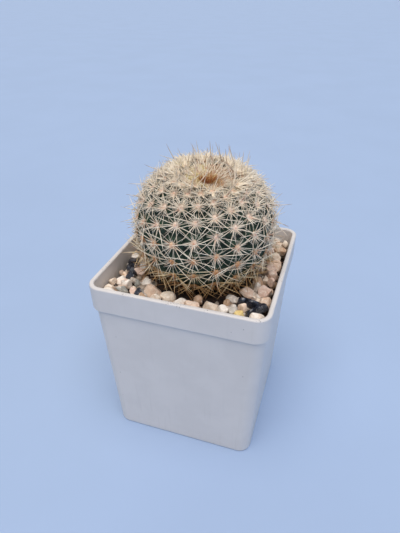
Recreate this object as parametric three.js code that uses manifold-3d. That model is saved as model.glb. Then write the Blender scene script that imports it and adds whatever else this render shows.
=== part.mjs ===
// A young globular cactus in a square white plastic pot: the stem with its tubercles and spines, the
// woolly crown, the potting soil and a top dressing of gravel.
// Millimetres, +Z up, the origin at the middle of the pot's foot, the pot's front facing -Y.

import * as THREE from 'three';
import { ConvexGeometry } from 'three/addons/geometries/ConvexGeometry.js';
import { mergeVertices } from 'three/addons/utils/BufferGeometryUtils.js';
import Module from 'manifold-3d';

const wasm = await Module();
wasm.setup();

// The pot: a tapered square box with a collar round its mouth, hollow under its floor
const POT_HEIGHT = 67;
const RIM_WIDTH = 60;
const RIM_THICKNESS = 1.6;
const RIM_CHAMFER = 0.4;
const COLLAR_HEIGHT = 9.5;
const COLLAR_FOOT_WIDTH = 59.7;
const COLLAR_UNDERCUT = 0.7;
const WALL_TOP_WIDTH = 58;
const FOOT_WIDTH = 53;
const CORNER_RADIUS = 4.3;
const FLOOR_BOTTOM = 1.5;
const FLOOR_TOP = 3;
const CAVITY_FOOT_WIDTH = 50.4;
const CAVITY_TOP_WIDTH = RIM_WIDTH - 2 * RIM_THICKNESS;
const FOOT_CHAMFER = 0.7;
const FOOT_RECESS_WIDTH = 46.5;
const DRAIN_RADIUS = 3;
const DRAIN_SPACING = 17;
const DRAIN_SIDES = 12;
const ARC_STEPS = 4;

// The fill: soil, and gravel lying on it
const GAP = 0.3;
const SOIL_TOP = 58.5;
// Free of gravel is a round place about this point, a little in front of the plant's middle
const FREE_CENTRE = [1.2, -1.6];
// There the soil is banked up round the plant, between the skin and the gravel, to this height
const BANK_TOP = 60.1;
const BANK_FOOT_RADII = [13.3, 18];
const BANK_TOP_RADII = [13.9, 16.6];
const BED_TOP = 60.9;
const BED_INNER_RADIUS = 18.4;
const BED_SIDES = 24;
const STONE_LEVEL = POT_HEIGHT - 3.2;
const STONE_LEVEL_SPREAD = 0.7;
// The stones' tops rise towards the pot's right and its front, by these shares of the way
const STONE_SLOPES = [0.03, -0.02];
const STONE_KEEP_OUT = 18.3;
const STONE_TRIES = 2200;
const STONE_LENGTHS = [5.8, 3.2];
const STONE_OVERLAP = 0.83;
const STONE_SUNK = 0.6;
// How far a stone's corners may fall short of its full size
const STONE_ROUGHNESS = 0.16;

// The plant: a flattened globe that leans a little, in its own frame about the middle of the globe
const PLANT_CENTRE = [1.2, 0, POT_HEIGHT + 12.5];
const LEAN = THREE.MathUtils.degToRad(8);
const LEAN_AZIMUTH = THREE.MathUtils.degToRad(-38);
const GLOBE_RADIUS = 22.9;
const GLOBE_HEIGHT = 20;
const GLOBE_DEPTH = 18.4;
const GLOBE_SQUARENESS = 2.3;
const DENT_DEPTH = 3.4;
const DENT_RADIUS = 7.5;
// The skin sinks between the areoles, by a share of their spacing, at that share of it away
const HOLLOW_DEPTH = 0.24;
const HOLLOW_REACH = 0.58;
const TIP = new THREE.Vector3(0, 0, 1);
const CROWN_ANGLE = THREE.MathUtils.degToRad(26);
const BASE_RING_ANGLE = THREE.MathUtils.degToRad(158);
const BASE_RING_POINTS = 14;
// The neck and root as [radius, height], and the heights where they start inside the globe and end
const ROOT_PROFILE = [[10, -17], [9.2, -21], [6.5, -27], [4, -34], [1.5, -41]];
const ROOT_TOP = -12;
const ROOT_TIP = -42;
const ROOT_SIDES = 14;

// Areoles sit on a spiral, each turned by nearly the golden angle from the one above it
const DIVERGENCE = THREE.MathUtils.degToRad(137.09);
const AREOLE_PHASE = THREE.MathUtils.degToRad(-36.7);
// The area that one areole has to itself, against the distance from the growing tip along the skin
const AREOLE_CELLS = [[0, 4], [8, 9.4], [14, 17.6], [20, 29], [26, 41], [36, 40], [80, 42]];
// A cell's area against the square of its spacing, for cells packed in a honeycomb
const HONEYCOMB = Math.sqrt(3) / 2;
const LOWEST_AREOLE = -14.7;

// Spines: needles with three sides, in a ring on each areole and one in the middle
const SPINE_RADIUS = 0.28;
const SPINE_SUNK = 1;
const SPINE_RING = 0.7;
const RADIAL_SPINES = 5;
const YOUNG_RADIAL_SPINES = 3;
const YOUNG_SPACING = 5.6;
const RADIAL_LENGTH = 5.6;
const RADIAL_RISE = [0.25, 0.55];
const CENTRAL_LENGTH = 8.2;
// A central spine turns up near the crown and down near the base, at these heights on the globe
const CENTRAL_HEIGHTS = [-15, 15];
const CENTRAL_RISE = [-0.7, 0.5];
const LENGTH_SPREAD = 0.15;
const SHORTEST_SPINE = 2;
const SPINE_HEADROOM = 0.5;
const SPINE_STEP = 0.25;

// The crown: wool over the growing tip, with young spines standing in it
const CROWN_REACH = 8.6;
const CROWN_CLEARANCE = 0.6;
const WOOL_HALF_HEIGHT = 2;
const WOOL_LEVEL = 1.1;
const WOOL_DETAIL = 4;
const CROWN_SPINES = 90;
const CROWN_SPINE_RING = 6.2;
const CROWN_SPINE_LENGTH = 3.8;
const CROWN_SPINE_LEAN = 0.5;
// Every fifth one is long and stands steeper
const LONG_CROWN_SPINE_STEP = 5;
const LONG_CROWN_SPINE_LENGTH = 6.6;
const LONG_CROWN_SPINE_LEAN = 0.3;

const COLOURS = {
  pot: '#dcdbe0',
  soil: '#2a211c',
  stem: '#3d5a47',
  crown: '#d9c79c',
  pale: '#cdb6a2',
  dark: '#2b2d36',
};

// Stones that lie where the eye falls, as [x, y, length, width, turn in degrees]
const PALE_STONES = [
  [-25, -15.4, 4.4, 4.4, 0], [-19.7, -10.3, 4.4, 4.2, 20], [-21.2, -21.5, 4.4, 3, 20],
  [-20.6, -18.7, 3.4, 3, 10], [-17.4, -20.9, 3.4, 3, 15], [-17.4, -17.2, 2.8, 2.6, 0],
  [-19.8, -15.2, 2.6, 2.4, 30], [-13, -23.4, 3, 2.4, 10], [-11.1, -19.3, 7.3, 4.6, 16],
  [-8, -23.6, 4, 3, 18], [0, -23, 5.6, 4, 12], [3.9, -23.4, 5.6, 3.6, 24],
  [5.3, -20, 3.2, 3.2, 60], [9.7, -21.7, 5.4, 3.6, 24], [13.9, -22.8, 4.2, 3.4, 8],
  [15.7, -15.6, 5, 3.6, 24], [17.2, -21.2, 3.4, 3.4, 60], [14.4, -18.7, 2.4, 2.2, 0],
  [19.9, -19.9, 3.2, 2.8, 20], [19.5, -23.3, 4, 3, 20], [25.4, -23.4, 5.2, 3.8, 18],
  [19.3, -10.8, 5.6, 4.4, 12], [25.6, -14, 4.2, 3.8, 0], [25, -9, 5.2, 4.4, 30],
  [21.8, -4.6, 4.4, 4.4, 60], [26, -3.6, 3, 2.6, 0], [25.6, 0.6, 4.2, 3.8, 10],
  [25.4, 9.2, 5.4, 5.4, 60], [25, 18.4, 5.6, 4.2, 15], [22.4, 25, 4.4, 3.6, 0],
];
const DARK_STONES = {
  front_right: [
    [21.9, -16.2, 5.4, 5.2, -20], [24.8, -18.6, 5.4, 3.4, 14], [22.9, -21, 3.4, 5, 0],
    [19.1, -16.4, 3.2, 2.8, 20],
  ],
  left: [[-22.5, -11.6, 3.6, 6.6, 10], [-23.9, -7.2, 4.2, 5.4, 15], [-24.9, -4.2, 3.8, 4, 0]],
  front_left: [[-14.9, -22, 2.6, 2.4, 10]],
  back_left: [[-19.6, 19.4, 4.6, 4.2, 25], [-21.6, 21.4, 4.2, 4.2, 70]],
  back: [[9.5, 22.8, 5, 3.8, -15]],
};

// Repeatable random numbers from 0 to 1, by the usual linear congruence
function seededRandom(seed) {
  let state = seed;
  return () => {
    state = (Math.imul(state, 1664525) + 1013904223) >>> 0;
    return state / 2 ** 32;
  };
}

// A length with a random share more or less
function spreadLength(length, random) {
  return length * (1 + LENGTH_SPREAD * (2 * random() - 1));
}

// A closed three.js geometry as a solid
function toSolid(geometry) {
  const bare = new THREE.BufferGeometry();
  bare.setAttribute('position', geometry.getAttribute('position').clone());
  bare.setIndex(geometry.index);
  const merged = mergeVertices(bare, 1e-4);
  return new wasm.Manifold(
    new wasm.Mesh({
      numProp: 3,
      vertProperties: merged.getAttribute('position').array,
      triVerts: merged.index.array,
    }),
  );
}

// Joins solids two by two, so that big ones meet only near the end
function join(solids) {
  let left = solids;
  while (left.length > 1) {
    const pairs = [];
    for (let i = 0; i < left.length; i += 2) {
      pairs.push(i + 1 < left.length ? left[i].add(left[i + 1]) : left[i]);
    }
    left = pairs;
  }
  return left[0];
}

// The largest body of a solid, without the scraps that a cut leaves
function largestBody(solid) {
  return solid.decompose().reduce((a, b) => (a.volume() > b.volume() ? a : b));
}

// A solid as a named mesh
function toMesh(name, solid, colour, roughness) {
  const made = solid.getMesh();
  const geometry = new THREE.BufferGeometry();
  geometry.setAttribute('position', new THREE.BufferAttribute(made.vertProperties, 3));
  geometry.setIndex(new THREE.BufferAttribute(made.triVerts, 1));
  geometry.computeVertexNormals();
  const material = new THREE.MeshStandardMaterial({ color: colour, roughness, metalness: 0 });
  const mesh = new THREE.Mesh(geometry, material);
  mesh.name = name;
  return mesh;
}

// A square block with rounded upright corners, tapering from one width to another
function taperedBlock(bottomWidth, topWidth, bottom, top, radius = CORNER_RADIUS) {
  const half = 0.5;
  const r = radius / bottomWidth;
  const outline = new THREE.Shape();
  outline.absarc(half - r, half - r, r, 0, Math.PI / 2);
  outline.absarc(r - half, half - r, r, Math.PI / 2, Math.PI);
  outline.absarc(r - half, r - half, r, Math.PI, 1.5 * Math.PI);
  outline.absarc(half - r, r - half, r, 1.5 * Math.PI, 2 * Math.PI);
  const settings = { depth: top - bottom, bevelEnabled: false, curveSegments: ARC_STEPS };
  const geometry = new THREE.ExtrudeGeometry(outline, settings);
  geometry.translate(0, 0, bottom);
  const position = geometry.getAttribute('position');
  for (let i = 0; i < position.count; i++) {
    const z = position.getZ(i);
    const width = THREE.MathUtils.mapLinear(z, bottom, top, bottomWidth, topWidth);
    position.setXYZ(i, position.getX(i) * width, position.getY(i) * width, z);
  }
  return toSolid(geometry);
}

function box(width, depth, height, x, y, z) {
  return toSolid(new THREE.BoxGeometry(width, depth, height).translate(x, y, z));
}

// The width of the pot's inside at a height
function cavityWidth(z) {
  return THREE.MathUtils.mapLinear(z, FLOOR_TOP, POT_HEIGHT, CAVITY_FOOT_WIDTH, CAVITY_TOP_WIDTH);
}

function makePot() {
  const collarBottom = POT_HEIGHT - COLLAR_HEIGHT;
  const collarFull = collarBottom + COLLAR_UNDERCUT;
  const rimEdge = POT_HEIGHT - RIM_CHAMFER;
  const foot = taperedBlock(FOOT_WIDTH - 2 * FOOT_CHAMFER, FOOT_WIDTH, 0, FOOT_CHAMFER);
  const wall = taperedBlock(FOOT_WIDTH, WALL_TOP_WIDTH, FOOT_CHAMFER, collarBottom);
  const undercut = taperedBlock(WALL_TOP_WIDTH, COLLAR_FOOT_WIDTH, collarBottom, collarFull);
  const collar = taperedBlock(COLLAR_FOOT_WIDTH, RIM_WIDTH, collarFull, rimEdge);
  const edge = taperedBlock(RIM_WIDTH, RIM_WIDTH - 2 * RIM_CHAMFER, rimEdge, POT_HEIGHT);
  const innerRadius = CORNER_RADIUS - RIM_THICKNESS;
  const above = POT_HEIGHT + 1;
  const cavity = taperedBlock(cavityWidth(FLOOR_TOP), cavityWidth(above), FLOOR_TOP, above, innerRadius);
  const recess = box(FOOT_RECESS_WIDTH, FOOT_RECESS_WIDTH, 2 * FLOOR_BOTTOM, 0, 0, 0);
  const drains = [[0, 0], [1, 0], [-1, 0], [0, 1], [0, -1]].map(([x, y]) => {
    const drain = new THREE.CylinderGeometry(DRAIN_RADIUS, DRAIN_RADIUS, 3 * FLOOR_TOP, DRAIN_SIDES);
    drain.rotateX(Math.PI / 2).translate(x * DRAIN_SPACING, y * DRAIN_SPACING, 0);
    return toSolid(drain);
  });
  return join([foot, wall, undercut, collar, edge])
    .subtract(cavity)
    .subtract(recess)
    .subtract(join(drains));
}

// The plant's own frame in the pot's frame
const plant = new THREE.Group();
plant.position.set(...PLANT_CENTRE);
plant.quaternion.setFromAxisAngle(
  new THREE.Vector3(-Math.sin(LEAN_AZIMUTH), Math.cos(LEAN_AZIMUTH), 0),
  LEAN,
);
plant.updateMatrix();

// The surface that the areoles lie on, at an angle from the tip: [distance from the axis, height]
function globePoint(angle) {
  const across = Math.sin(angle);
  const along = Math.cos(angle);
  const n = GLOBE_SQUARENESS;
  const half = along > 0 ? GLOBE_HEIGHT : GLOBE_DEPTH;
  const sum = (across / GLOBE_RADIUS) ** n + (Math.abs(along) / half) ** n;
  const reach = sum ** (-1 / n);
  const r = reach * across;
  const dent = along > 0 ? DENT_DEPTH * Math.exp(-((r / DENT_RADIUS) ** 2)) : 0;
  return [r, reach * along - dent];
}

// The area per areole at a distance from the tip
function areoleCell(s) {
  const i = AREOLE_CELLS.findIndex(([end]) => end > s);
  const [[s0, a0], [s1, a1]] = [AREOLE_CELLS[i - 1], AREOLE_CELLS[i]];
  return THREE.MathUtils.mapLinear(s, s0, s1, a0, a1);
}

// The direction at an angle from the growing tip and a turn round the axis
function directionAt(angle, turn) {
  const across = Math.sin(angle);
  return new THREE.Vector3(across * Math.cos(turn), across * Math.sin(turn), Math.cos(angle));
}

// Every areole, from the tip down, with its own axes, its distance from the tip and its spacing
function placeAreoles() {
  const areoles = [];
  const steps = 3000;
  let count = 0.5;
  let s = 0;
  let [r0, z0] = globePoint(0);
  for (let i = 1; i < steps; i++) {
    const angle = (i / steps) * Math.PI;
    const [r, z] = globePoint(angle);
    const ds = Math.hypot(r - r0, z - z0);
    const cell = areoleCell(s);
    s += ds;
    count += (2 * Math.PI * r * ds) / cell;
    if (z < LOWEST_AREOLE) break;
    if (count >= areoles.length + 1) {
      const turn = AREOLE_PHASE - areoles.length * DIVERGENCE;
      const out = directionAt(Math.PI / 2, turn);
      const side = new THREE.Vector3(-Math.sin(turn), Math.cos(turn), 0);
      const up = out.clone().multiplyScalar((r0 - r) / ds).setZ((z0 - z) / ds);
      const normal = new THREE.Vector3().crossVectors(side, up).normalize();
      const point = out.clone().multiplyScalar(r).setZ(z);
      const spacing = Math.sqrt(cell / HONEYCOMB);
      areoles.push({ direction: directionAt(angle, turn), point, up, side, normal, s, spacing });
    }
    [r0, z0] = [r, z];
  }
  return areoles;
}

// How deep the skin lies under the areoles' surface at a point: deepest midway between areoles
function hollowDepth(point, areoles) {
  let depth = Infinity;
  for (const { point: tip, spacing } of areoles) {
    const share = Math.min(1, point.distanceTo(tip) / (spacing * HOLLOW_REACH));
    depth = Math.min(depth, spacing * HOLLOW_DEPTH * share * share);
  }
  return depth;
}

// The stem's skin: corners on the areoles and in the hollows between them
function makeGlobe(areoles) {
  const corners = areoles.map((areole) => areole.direction);
  corners.push(directionAt(Math.PI, 0));
  for (let i = 0; i < BASE_RING_POINTS; i++) {
    corners.push(directionAt(BASE_RING_ANGLE, (i / BASE_RING_POINTS) * 2 * Math.PI));
  }
  const threes = new ConvexGeometry(corners).getAttribute('position');
  for (let i = 0; i < threes.count; i += 3) {
    const middle = new THREE.Vector3();
    for (let k = 0; k < 3; k++) {
      middle.add(new THREE.Vector3().fromBufferAttribute(threes, i + k));
    }
    if (middle.angleTo(TIP) > CROWN_ANGLE) corners.push(middle.normalize());
  }
  const globe = new ConvexGeometry(corners);
  const position = globe.getAttribute('position');
  const direction = new THREE.Vector3();
  for (let i = 0; i < position.count; i++) {
    direction.fromBufferAttribute(position, i);
    const angle = direction.angleTo(TIP);
    const [r, z] = globePoint(angle);
    const skin = directionAt(Math.PI / 2, Math.atan2(direction.y, direction.x)).multiplyScalar(r).setZ(z);
    if (angle > CROWN_ANGLE) skin.addScaledVector(direction, -hollowDepth(skin, areoles));
    position.setXYZ(i, skin.x, skin.y, skin.z);
  }
  return globe;
}

// The neck and root, grown all round by a margin, from a height down
function makeRoot(top, margin = 0) {
  const grown = ROOT_PROFILE.map(([r, z]) => [r + margin, z]);
  const profile = [[0, top], [grown[0][0], top], ...grown.slice(1), [0, ROOT_TIP - margin]];
  const points = profile.map(([r, z]) => new THREE.Vector2(r, z)).reverse();
  return new THREE.LatheGeometry(points, ROOT_SIDES).rotateX(Math.PI / 2);
}

// One spine, from its root along a direction
function makeSpine(root, direction, length) {
  const spine = new THREE.ConeGeometry(SPINE_RADIUS, length, 3).translate(0, length / 2, 0);
  const turn = new THREE.Quaternion().setFromUnitVectors(new THREE.Vector3(0, 1, 0), direction);
  return toSolid(spine.applyQuaternion(turn).translate(root.x, root.y, root.z));
}

// True if a point in the plant's frame is too near a stone, the pot's wall, the fill or the crown
function isBlocked(point, stones) {
  const inPot = point.clone().applyMatrix4(plant.matrix);
  const width = inPot.z < POT_HEIGHT + SPINE_HEADROOM ? cavityWidth(inPot.z) : RIM_WIDTH;
  const outside = Math.max(Math.abs(inPot.x), Math.abs(inPot.y)) > (width - SPINE_HEADROOM) / 2;
  const overCrown = point.z > 0 && Math.hypot(point.x, point.y) < CROWN_REACH + CROWN_CLEARANCE;
  const low = inPot.z < BED_TOP + SPINE_HEADROOM;
  return outside || overCrown || low || stones.some((stone) => isInStone(stone, inPot));
}

// How long a spine may be
function clearLength(root, direction, wanted, stones) {
  let length = SPINE_STEP;
  while (length < wanted && !isBlocked(root.clone().addScaledVector(direction, length), stones)) {
    length += SPINE_STEP;
  }
  return length < wanted ? length - 2 * SPINE_STEP : wanted;
}

// The stem with its root and spines
function makeStem(globe, areoles, stones) {
  const random = seededRandom(11);
  const parts = [toSolid(globe), toSolid(makeRoot(ROOT_TOP))];
  for (const { point, side, up, normal, s, spacing } of areoles) {
    if (s < CROWN_REACH) continue;
    const radials = spacing < YOUNG_SPACING ? YOUNG_RADIAL_SPINES : RADIAL_SPINES;
    const start = random() * 2 * Math.PI;
    for (let i = 0; i <= radials; i++) {
      const turn = start + ((i + 0.3 * random()) / radials) * 2 * Math.PI;
      const spread = new THREE.Vector3()
        .addScaledVector(side, Math.cos(turn))
        .addScaledVector(up, Math.sin(turn));
      const isRadial = i < radials;
      const root = point.clone().addScaledVector(spread, isRadial ? SPINE_RING : 0);
      const radialRise = THREE.MathUtils.lerp(...RADIAL_RISE, random());
      const centralRise = THREE.MathUtils.mapLinear(point.z, ...CENTRAL_HEIGHTS, ...CENTRAL_RISE);
      const direction = isRadial
        ? spread.addScaledVector(normal, radialRise)
        : normal.clone().addScaledVector(up, centralRise);
      direction.normalize();
      const wanted = spreadLength(isRadial ? RADIAL_LENGTH : CENTRAL_LENGTH, random);
      const length = clearLength(root, direction, wanted, stones);
      if (length < SHORTEST_SPINE) continue;
      root.addScaledVector(normal, -SPINE_SUNK);
      parts.push(makeSpine(root, direction, length + SPINE_SUNK));
    }
  }
  return join(parts.reverse());
}

// The crown: a low dome of wool in the dent of the tip, with a tuft of young spines
function makeCrown(globe) {
  const [, middle] = globePoint(0);
  const wool = new THREE.IcosahedronGeometry(1, WOOL_DETAIL);
  const radius = CROWN_REACH - CROWN_CLEARANCE;
  wool.scale(radius, radius, WOOL_HALF_HEIGHT).translate(0, 0, middle + WOOL_LEVEL);
  const parts = [toSolid(wool)];
  const random = seededRandom(5);
  for (let i = 0; i < CROWN_SPINES; i++) {
    const share = Math.sqrt((i + 0.5) / CROWN_SPINES);
    const out = directionAt(Math.PI / 2, i * DIVERGENCE);
    const root = out.clone().multiplyScalar(share * CROWN_SPINE_RING).setZ(middle + WOOL_LEVEL);
    const isLong = i % LONG_CROWN_SPINE_STEP === 0;
    const lean = share * (isLong ? LONG_CROWN_SPINE_LEAN : CROWN_SPINE_LEAN) * (0.5 + random());
    const direction = out.multiplyScalar(lean).setZ(1).normalize();
    const length = isLong ? LONG_CROWN_SPINE_LENGTH : CROWN_SPINE_LENGTH;
    parts.push(makeSpine(root, direction, spreadLength(length, random)));
  }
  const seat = globe.clone().translate(0, 0, GAP);
  return largestBody(join(parts).subtract(toSolid(globe)).subtract(toSolid(seat)));
}

// A stone as a lumpy ellipsoid: where it lies, its half sizes and its turn
function stoneAt([x, y, length, width, degrees], random) {
  const slope = STONE_SLOPES[0] * x + STONE_SLOPES[1] * y;
  const level = STONE_LEVEL + slope + STONE_LEVEL_SPREAD * (2 * random() - 1);
  const height = Math.min(length, width) * (0.42 + 0.12 * random());
  const limit = cavityWidth(BED_TOP) / 2 - GAP;
  const stone = {
    halfLength: length / 2,
    halfWidth: width / 2,
    halfHeight: Math.max(height, (level - BED_TOP + STONE_SUNK) / 2),
    turn: THREE.MathUtils.degToRad(degrees),
    seed: Math.floor(random() * 1e6),
  };
  const [cos, sin] = [Math.cos(stone.turn), Math.sin(stone.turn)];
  const reachX = Math.hypot(stone.halfLength * cos, stone.halfWidth * sin);
  const reachY = Math.hypot(stone.halfLength * sin, stone.halfWidth * cos);
  stone.x = THREE.MathUtils.clamp(x, reachX - limit, limit - reachX);
  stone.y = THREE.MathUtils.clamp(y, reachY - limit, limit - reachY);
  stone.z = level - stone.halfHeight;
  return stone;
}

// True if a point lies in a stone or too close over it for a spine
function isInStone(stone, point) {
  const dx = point.x - stone.x;
  const dy = point.y - stone.y;
  const [cos, sin] = [Math.cos(stone.turn), Math.sin(stone.turn)];
  const u = (dx * cos + dy * sin) / (stone.halfLength + SPINE_HEADROOM);
  const v = (dy * cos - dx * sin) / (stone.halfWidth + SPINE_HEADROOM);
  const w = (point.z - stone.z) / (stone.halfHeight + SPINE_HEADROOM);
  return u * u + v * v + w * w < 1;
}

// Fills the free places of the ring round the plant with stones, larger ones first
function scatterStones(placed, random) {
  const half = cavityWidth(BED_TOP) / 2;
  const scattered = [];
  for (let i = 0; i < STONE_TRIES; i++) {
    const x = (2 * random() - 1) * half;
    const y = (2 * random() - 1) * half;
    const length = THREE.MathUtils.lerp(...STONE_LENGTHS, i / STONE_TRIES);
    const width = length * (0.7 + 0.25 * random());
    const degrees = random() * 180;
    const inner = STONE_KEEP_OUT + width / 2;
    const nearPlant = Math.hypot(x - FREE_CENTRE[0], y - FREE_CENTRE[1]) < inner;
    const nearWall = Math.max(Math.abs(x), Math.abs(y)) > half - width / 2;
    const size = (length + width) / 4;
    const crowded = [...placed, ...scattered].some((s) => {
      const apart = Math.hypot(x - s.x, y - s.y);
      return apart < STONE_OVERLAP * (size + (s.halfLength + s.halfWidth) / 2);
    });
    if (nearPlant || nearWall || crowded) continue;
    scattered.push(stoneAt([x, y, length, width, degrees], random));
  }
  return scattered;
}

// A stone's solid, grown all round by a margin
function stoneSolid(stone, margin = 0) {
  const random = seededRandom(stone.seed);
  const ball = new THREE.IcosahedronGeometry(1, 0).deleteAttribute('normal').deleteAttribute('uv');
  const rough = mergeVertices(ball, 1e-4);
  const position = rough.getAttribute('position');
  for (let i = 0; i < position.count; i++) {
    const reach = 1 - STONE_ROUGHNESS * random();
    position.setXYZ(i, position.getX(i) * reach, position.getY(i) * reach, position.getZ(i) * reach);
  }
  rough.scale(stone.halfLength + margin, stone.halfWidth + margin, stone.halfHeight + margin);
  return toSolid(rough.rotateZ(stone.turn).translate(stone.x, stone.y, stone.z));
}

// The soil, with the hole that the root stands in and the bank round the plant
function makeSoil() {
  const width = (z) => cavityWidth(z) - 2 * GAP;
  const block = taperedBlock(width(FLOOR_TOP), width(SOIL_TOP), FLOOR_TOP, SOIL_TOP);
  const foot = SOIL_TOP - 1;
  const ring = [
    [BANK_FOOT_RADII[0], foot],
    [BANK_FOOT_RADII[1], foot],
    [BANK_FOOT_RADII[1], SOIL_TOP],
    [BANK_TOP_RADII[1], BANK_TOP],
    [BANK_TOP_RADII[0], BANK_TOP],
    [BANK_FOOT_RADII[0], SOIL_TOP],
    [BANK_FOOT_RADII[0], foot],
  ];
  const bank = new THREE.LatheGeometry(ring.map(([r, z]) => new THREE.Vector2(r, z)), BED_SIDES);
  bank.rotateX(Math.PI / 2).translate(...FREE_CENTRE, 0);
  return block
    .add(toSolid(bank))
    .subtract(toSolid(makeRoot(ROOT_TOP, GAP).applyMatrix4(plant.matrix)));
}

// The bed of fine gravel that the stones are sunk in, open round the plant
function makeBed() {
  const width = (z) => cavityWidth(z) - 2 * GAP;
  const bed = taperedBlock(width(SOIL_TOP), width(BED_TOP), SOIL_TOP, BED_TOP);
  const height = 4 * (BED_TOP - SOIL_TOP);
  const middle = new THREE.CylinderGeometry(BED_INNER_RADIUS, BED_INNER_RADIUS, height, BED_SIDES);
  middle.rotateX(Math.PI / 2).translate(...FREE_CENTRE, SOIL_TOP);
  return bed.subtract(toSolid(middle));
}

const areoles = placeAreoles();
const stoneRandom = seededRandom(7);
const paleStones = PALE_STONES.map((row) => stoneAt(row, stoneRandom));
const darkStones = Object.entries(DARK_STONES).map(([place, rows]) => [
  place,
  rows.map((row) => stoneAt(row, stoneRandom)),
]);
const allDark = darkStones.flatMap(([, stones]) => stones);
paleStones.push(...scatterStones([...paleStones, ...allDark], stoneRandom));

const underground = box(RIM_WIDTH, RIM_WIDTH, SOIL_TOP, 0, 0, SOIL_TOP / 2);
const darkRoom = join(allDark.map((stone) => stoneSolid(stone, GAP)));
const paleGravel = join([makeBed(), ...paleStones.map((stone) => stoneSolid(stone))])
  .subtract(underground)
  .subtract(darkRoom);

const globe = makeGlobe(areoles);
plant.add(
  toMesh('stem', makeStem(globe, areoles, [...paleStones, ...allDark]), COLOURS.stem, 0.6),
  toMesh('crown', makeCrown(globe), COLOURS.crown, 0.9),
);

const pottedPlant = new THREE.Group();
pottedPlant.add(
  toMesh('pot', makePot(), COLOURS.pot, 0.35),
  toMesh('soil', makeSoil(), COLOURS.soil, 0.95),
  toMesh('gravel_pale', largestBody(paleGravel), COLOURS.pale, 0.85),
  plant,
);
for (const [place, stones] of darkStones) {
  const solid = largestBody(join(stones.map((stone) => stoneSolid(stone))).subtract(underground));
  pottedPlant.add(toMesh(`gravel_dark_${place}`, solid, COLOURS.dark, 0.6));
}

export default pottedPlant;
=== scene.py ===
# Dresses a young globular cactus in its square white plastic pot: the moulded pot, the potting soil, the
# gravel, the stem with its woolly areoles and spines, and the straw-coloured crown.
# Shapes are modelled in millimetres in the pot's frame and written in metres.

import math
import random

import bmesh
import bpy
from bpy.props import FloatProperty, FloatVectorProperty, IntProperty, PointerProperty
from bpy.types import Operator, Panel, PropertyGroup
from mathutils import Matrix, Quaternion, Vector, noise
from mathutils.kdtree import KDTree


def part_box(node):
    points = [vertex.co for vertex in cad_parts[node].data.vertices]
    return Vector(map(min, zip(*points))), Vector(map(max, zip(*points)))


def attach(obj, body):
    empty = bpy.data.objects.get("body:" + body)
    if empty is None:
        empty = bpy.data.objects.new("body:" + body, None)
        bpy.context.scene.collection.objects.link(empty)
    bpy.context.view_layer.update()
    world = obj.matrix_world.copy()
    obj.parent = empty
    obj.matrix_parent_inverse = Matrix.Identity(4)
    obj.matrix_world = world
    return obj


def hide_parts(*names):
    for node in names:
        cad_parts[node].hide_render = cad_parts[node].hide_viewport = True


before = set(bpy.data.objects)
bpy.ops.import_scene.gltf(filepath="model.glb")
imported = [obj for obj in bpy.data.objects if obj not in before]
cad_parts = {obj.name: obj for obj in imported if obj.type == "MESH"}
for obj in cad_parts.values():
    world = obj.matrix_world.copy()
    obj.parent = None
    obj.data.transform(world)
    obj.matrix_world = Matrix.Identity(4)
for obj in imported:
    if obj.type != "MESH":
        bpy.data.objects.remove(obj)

bl_info = {
    "name": "Potted globular cactus",
    "version": (1, 0, 0),
    "blender": (4, 5, 0),
    "location": "3D View > Sidebar > Cactus",
    "description": "Builds the looks of a potted globular cactus round its solids",
    "category": "Add Mesh",
}

MM = 0.001
BODY = "root"


def box_in_mm(node):
    """The lowest and highest corner of a solid, in millimetres"""
    low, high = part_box(node)
    return low / MM, high / MM


# The height of the bed of gravel
BED_TOP = 60.9

# The pot, its sizes taken from its solid where that gives them
POT_HIGH = box_in_mm("pot")[1]
POT_HEIGHT = round(POT_HIGH.z, 2)
RIM_WIDTH = round(2 * POT_HIGH.x, 2)
RIM_THICKNESS = 1.6
RIM_ROUNDING = 0.55
COLLAR_HEIGHT = 9.5
COLLAR_FOOT_WIDTH = 59.7
COLLAR_ROUNDING = 0.45
WALL_TOP_WIDTH = 58
FOOT_WIDTH = 53
FOOT_ROUNDING = 0.9
CORNER_RADIUS = 4.3
CORNER_STEPS = 10
FLOOR_BOTTOM = 1.5
FLOOR_TOP = 3
CAVITY_FOOT_WIDTH = 50.4
CAVITY_TOP_WIDTH = RIM_WIDTH - 2 * RIM_THICKNESS
FOOT_RING_WIDTH = 3.25
DRAIN_RADIUS = 3
DRAIN_SPACING = 17
SHARP_ANGLE = math.radians(38)
FLOOR_ROUNDING = 1.2
RECESS_EASE = 0.25
RECESS_SLOPE = 0.05
COLLAR_FILLET = 0.25
COLLAR_SLOPE = 0.12
COLLAR_STEPS = 4
ROUNDING_STEPS = 5
DRAIN_PLACES = ((0, 0), (1, 0), (-1, 0), (0, 1), (0, -1))
DRAIN_SIDES = 40

# Heights on the pot between which its finish changes
FLOW_BAND = (12, 30)
DUST_BAND = (BED_TOP - 0.4, POT_HEIGHT - 1)
RIM_BAND = (POT_HEIGHT - 1.2, POT_HEIGHT - 0.4)

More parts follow.
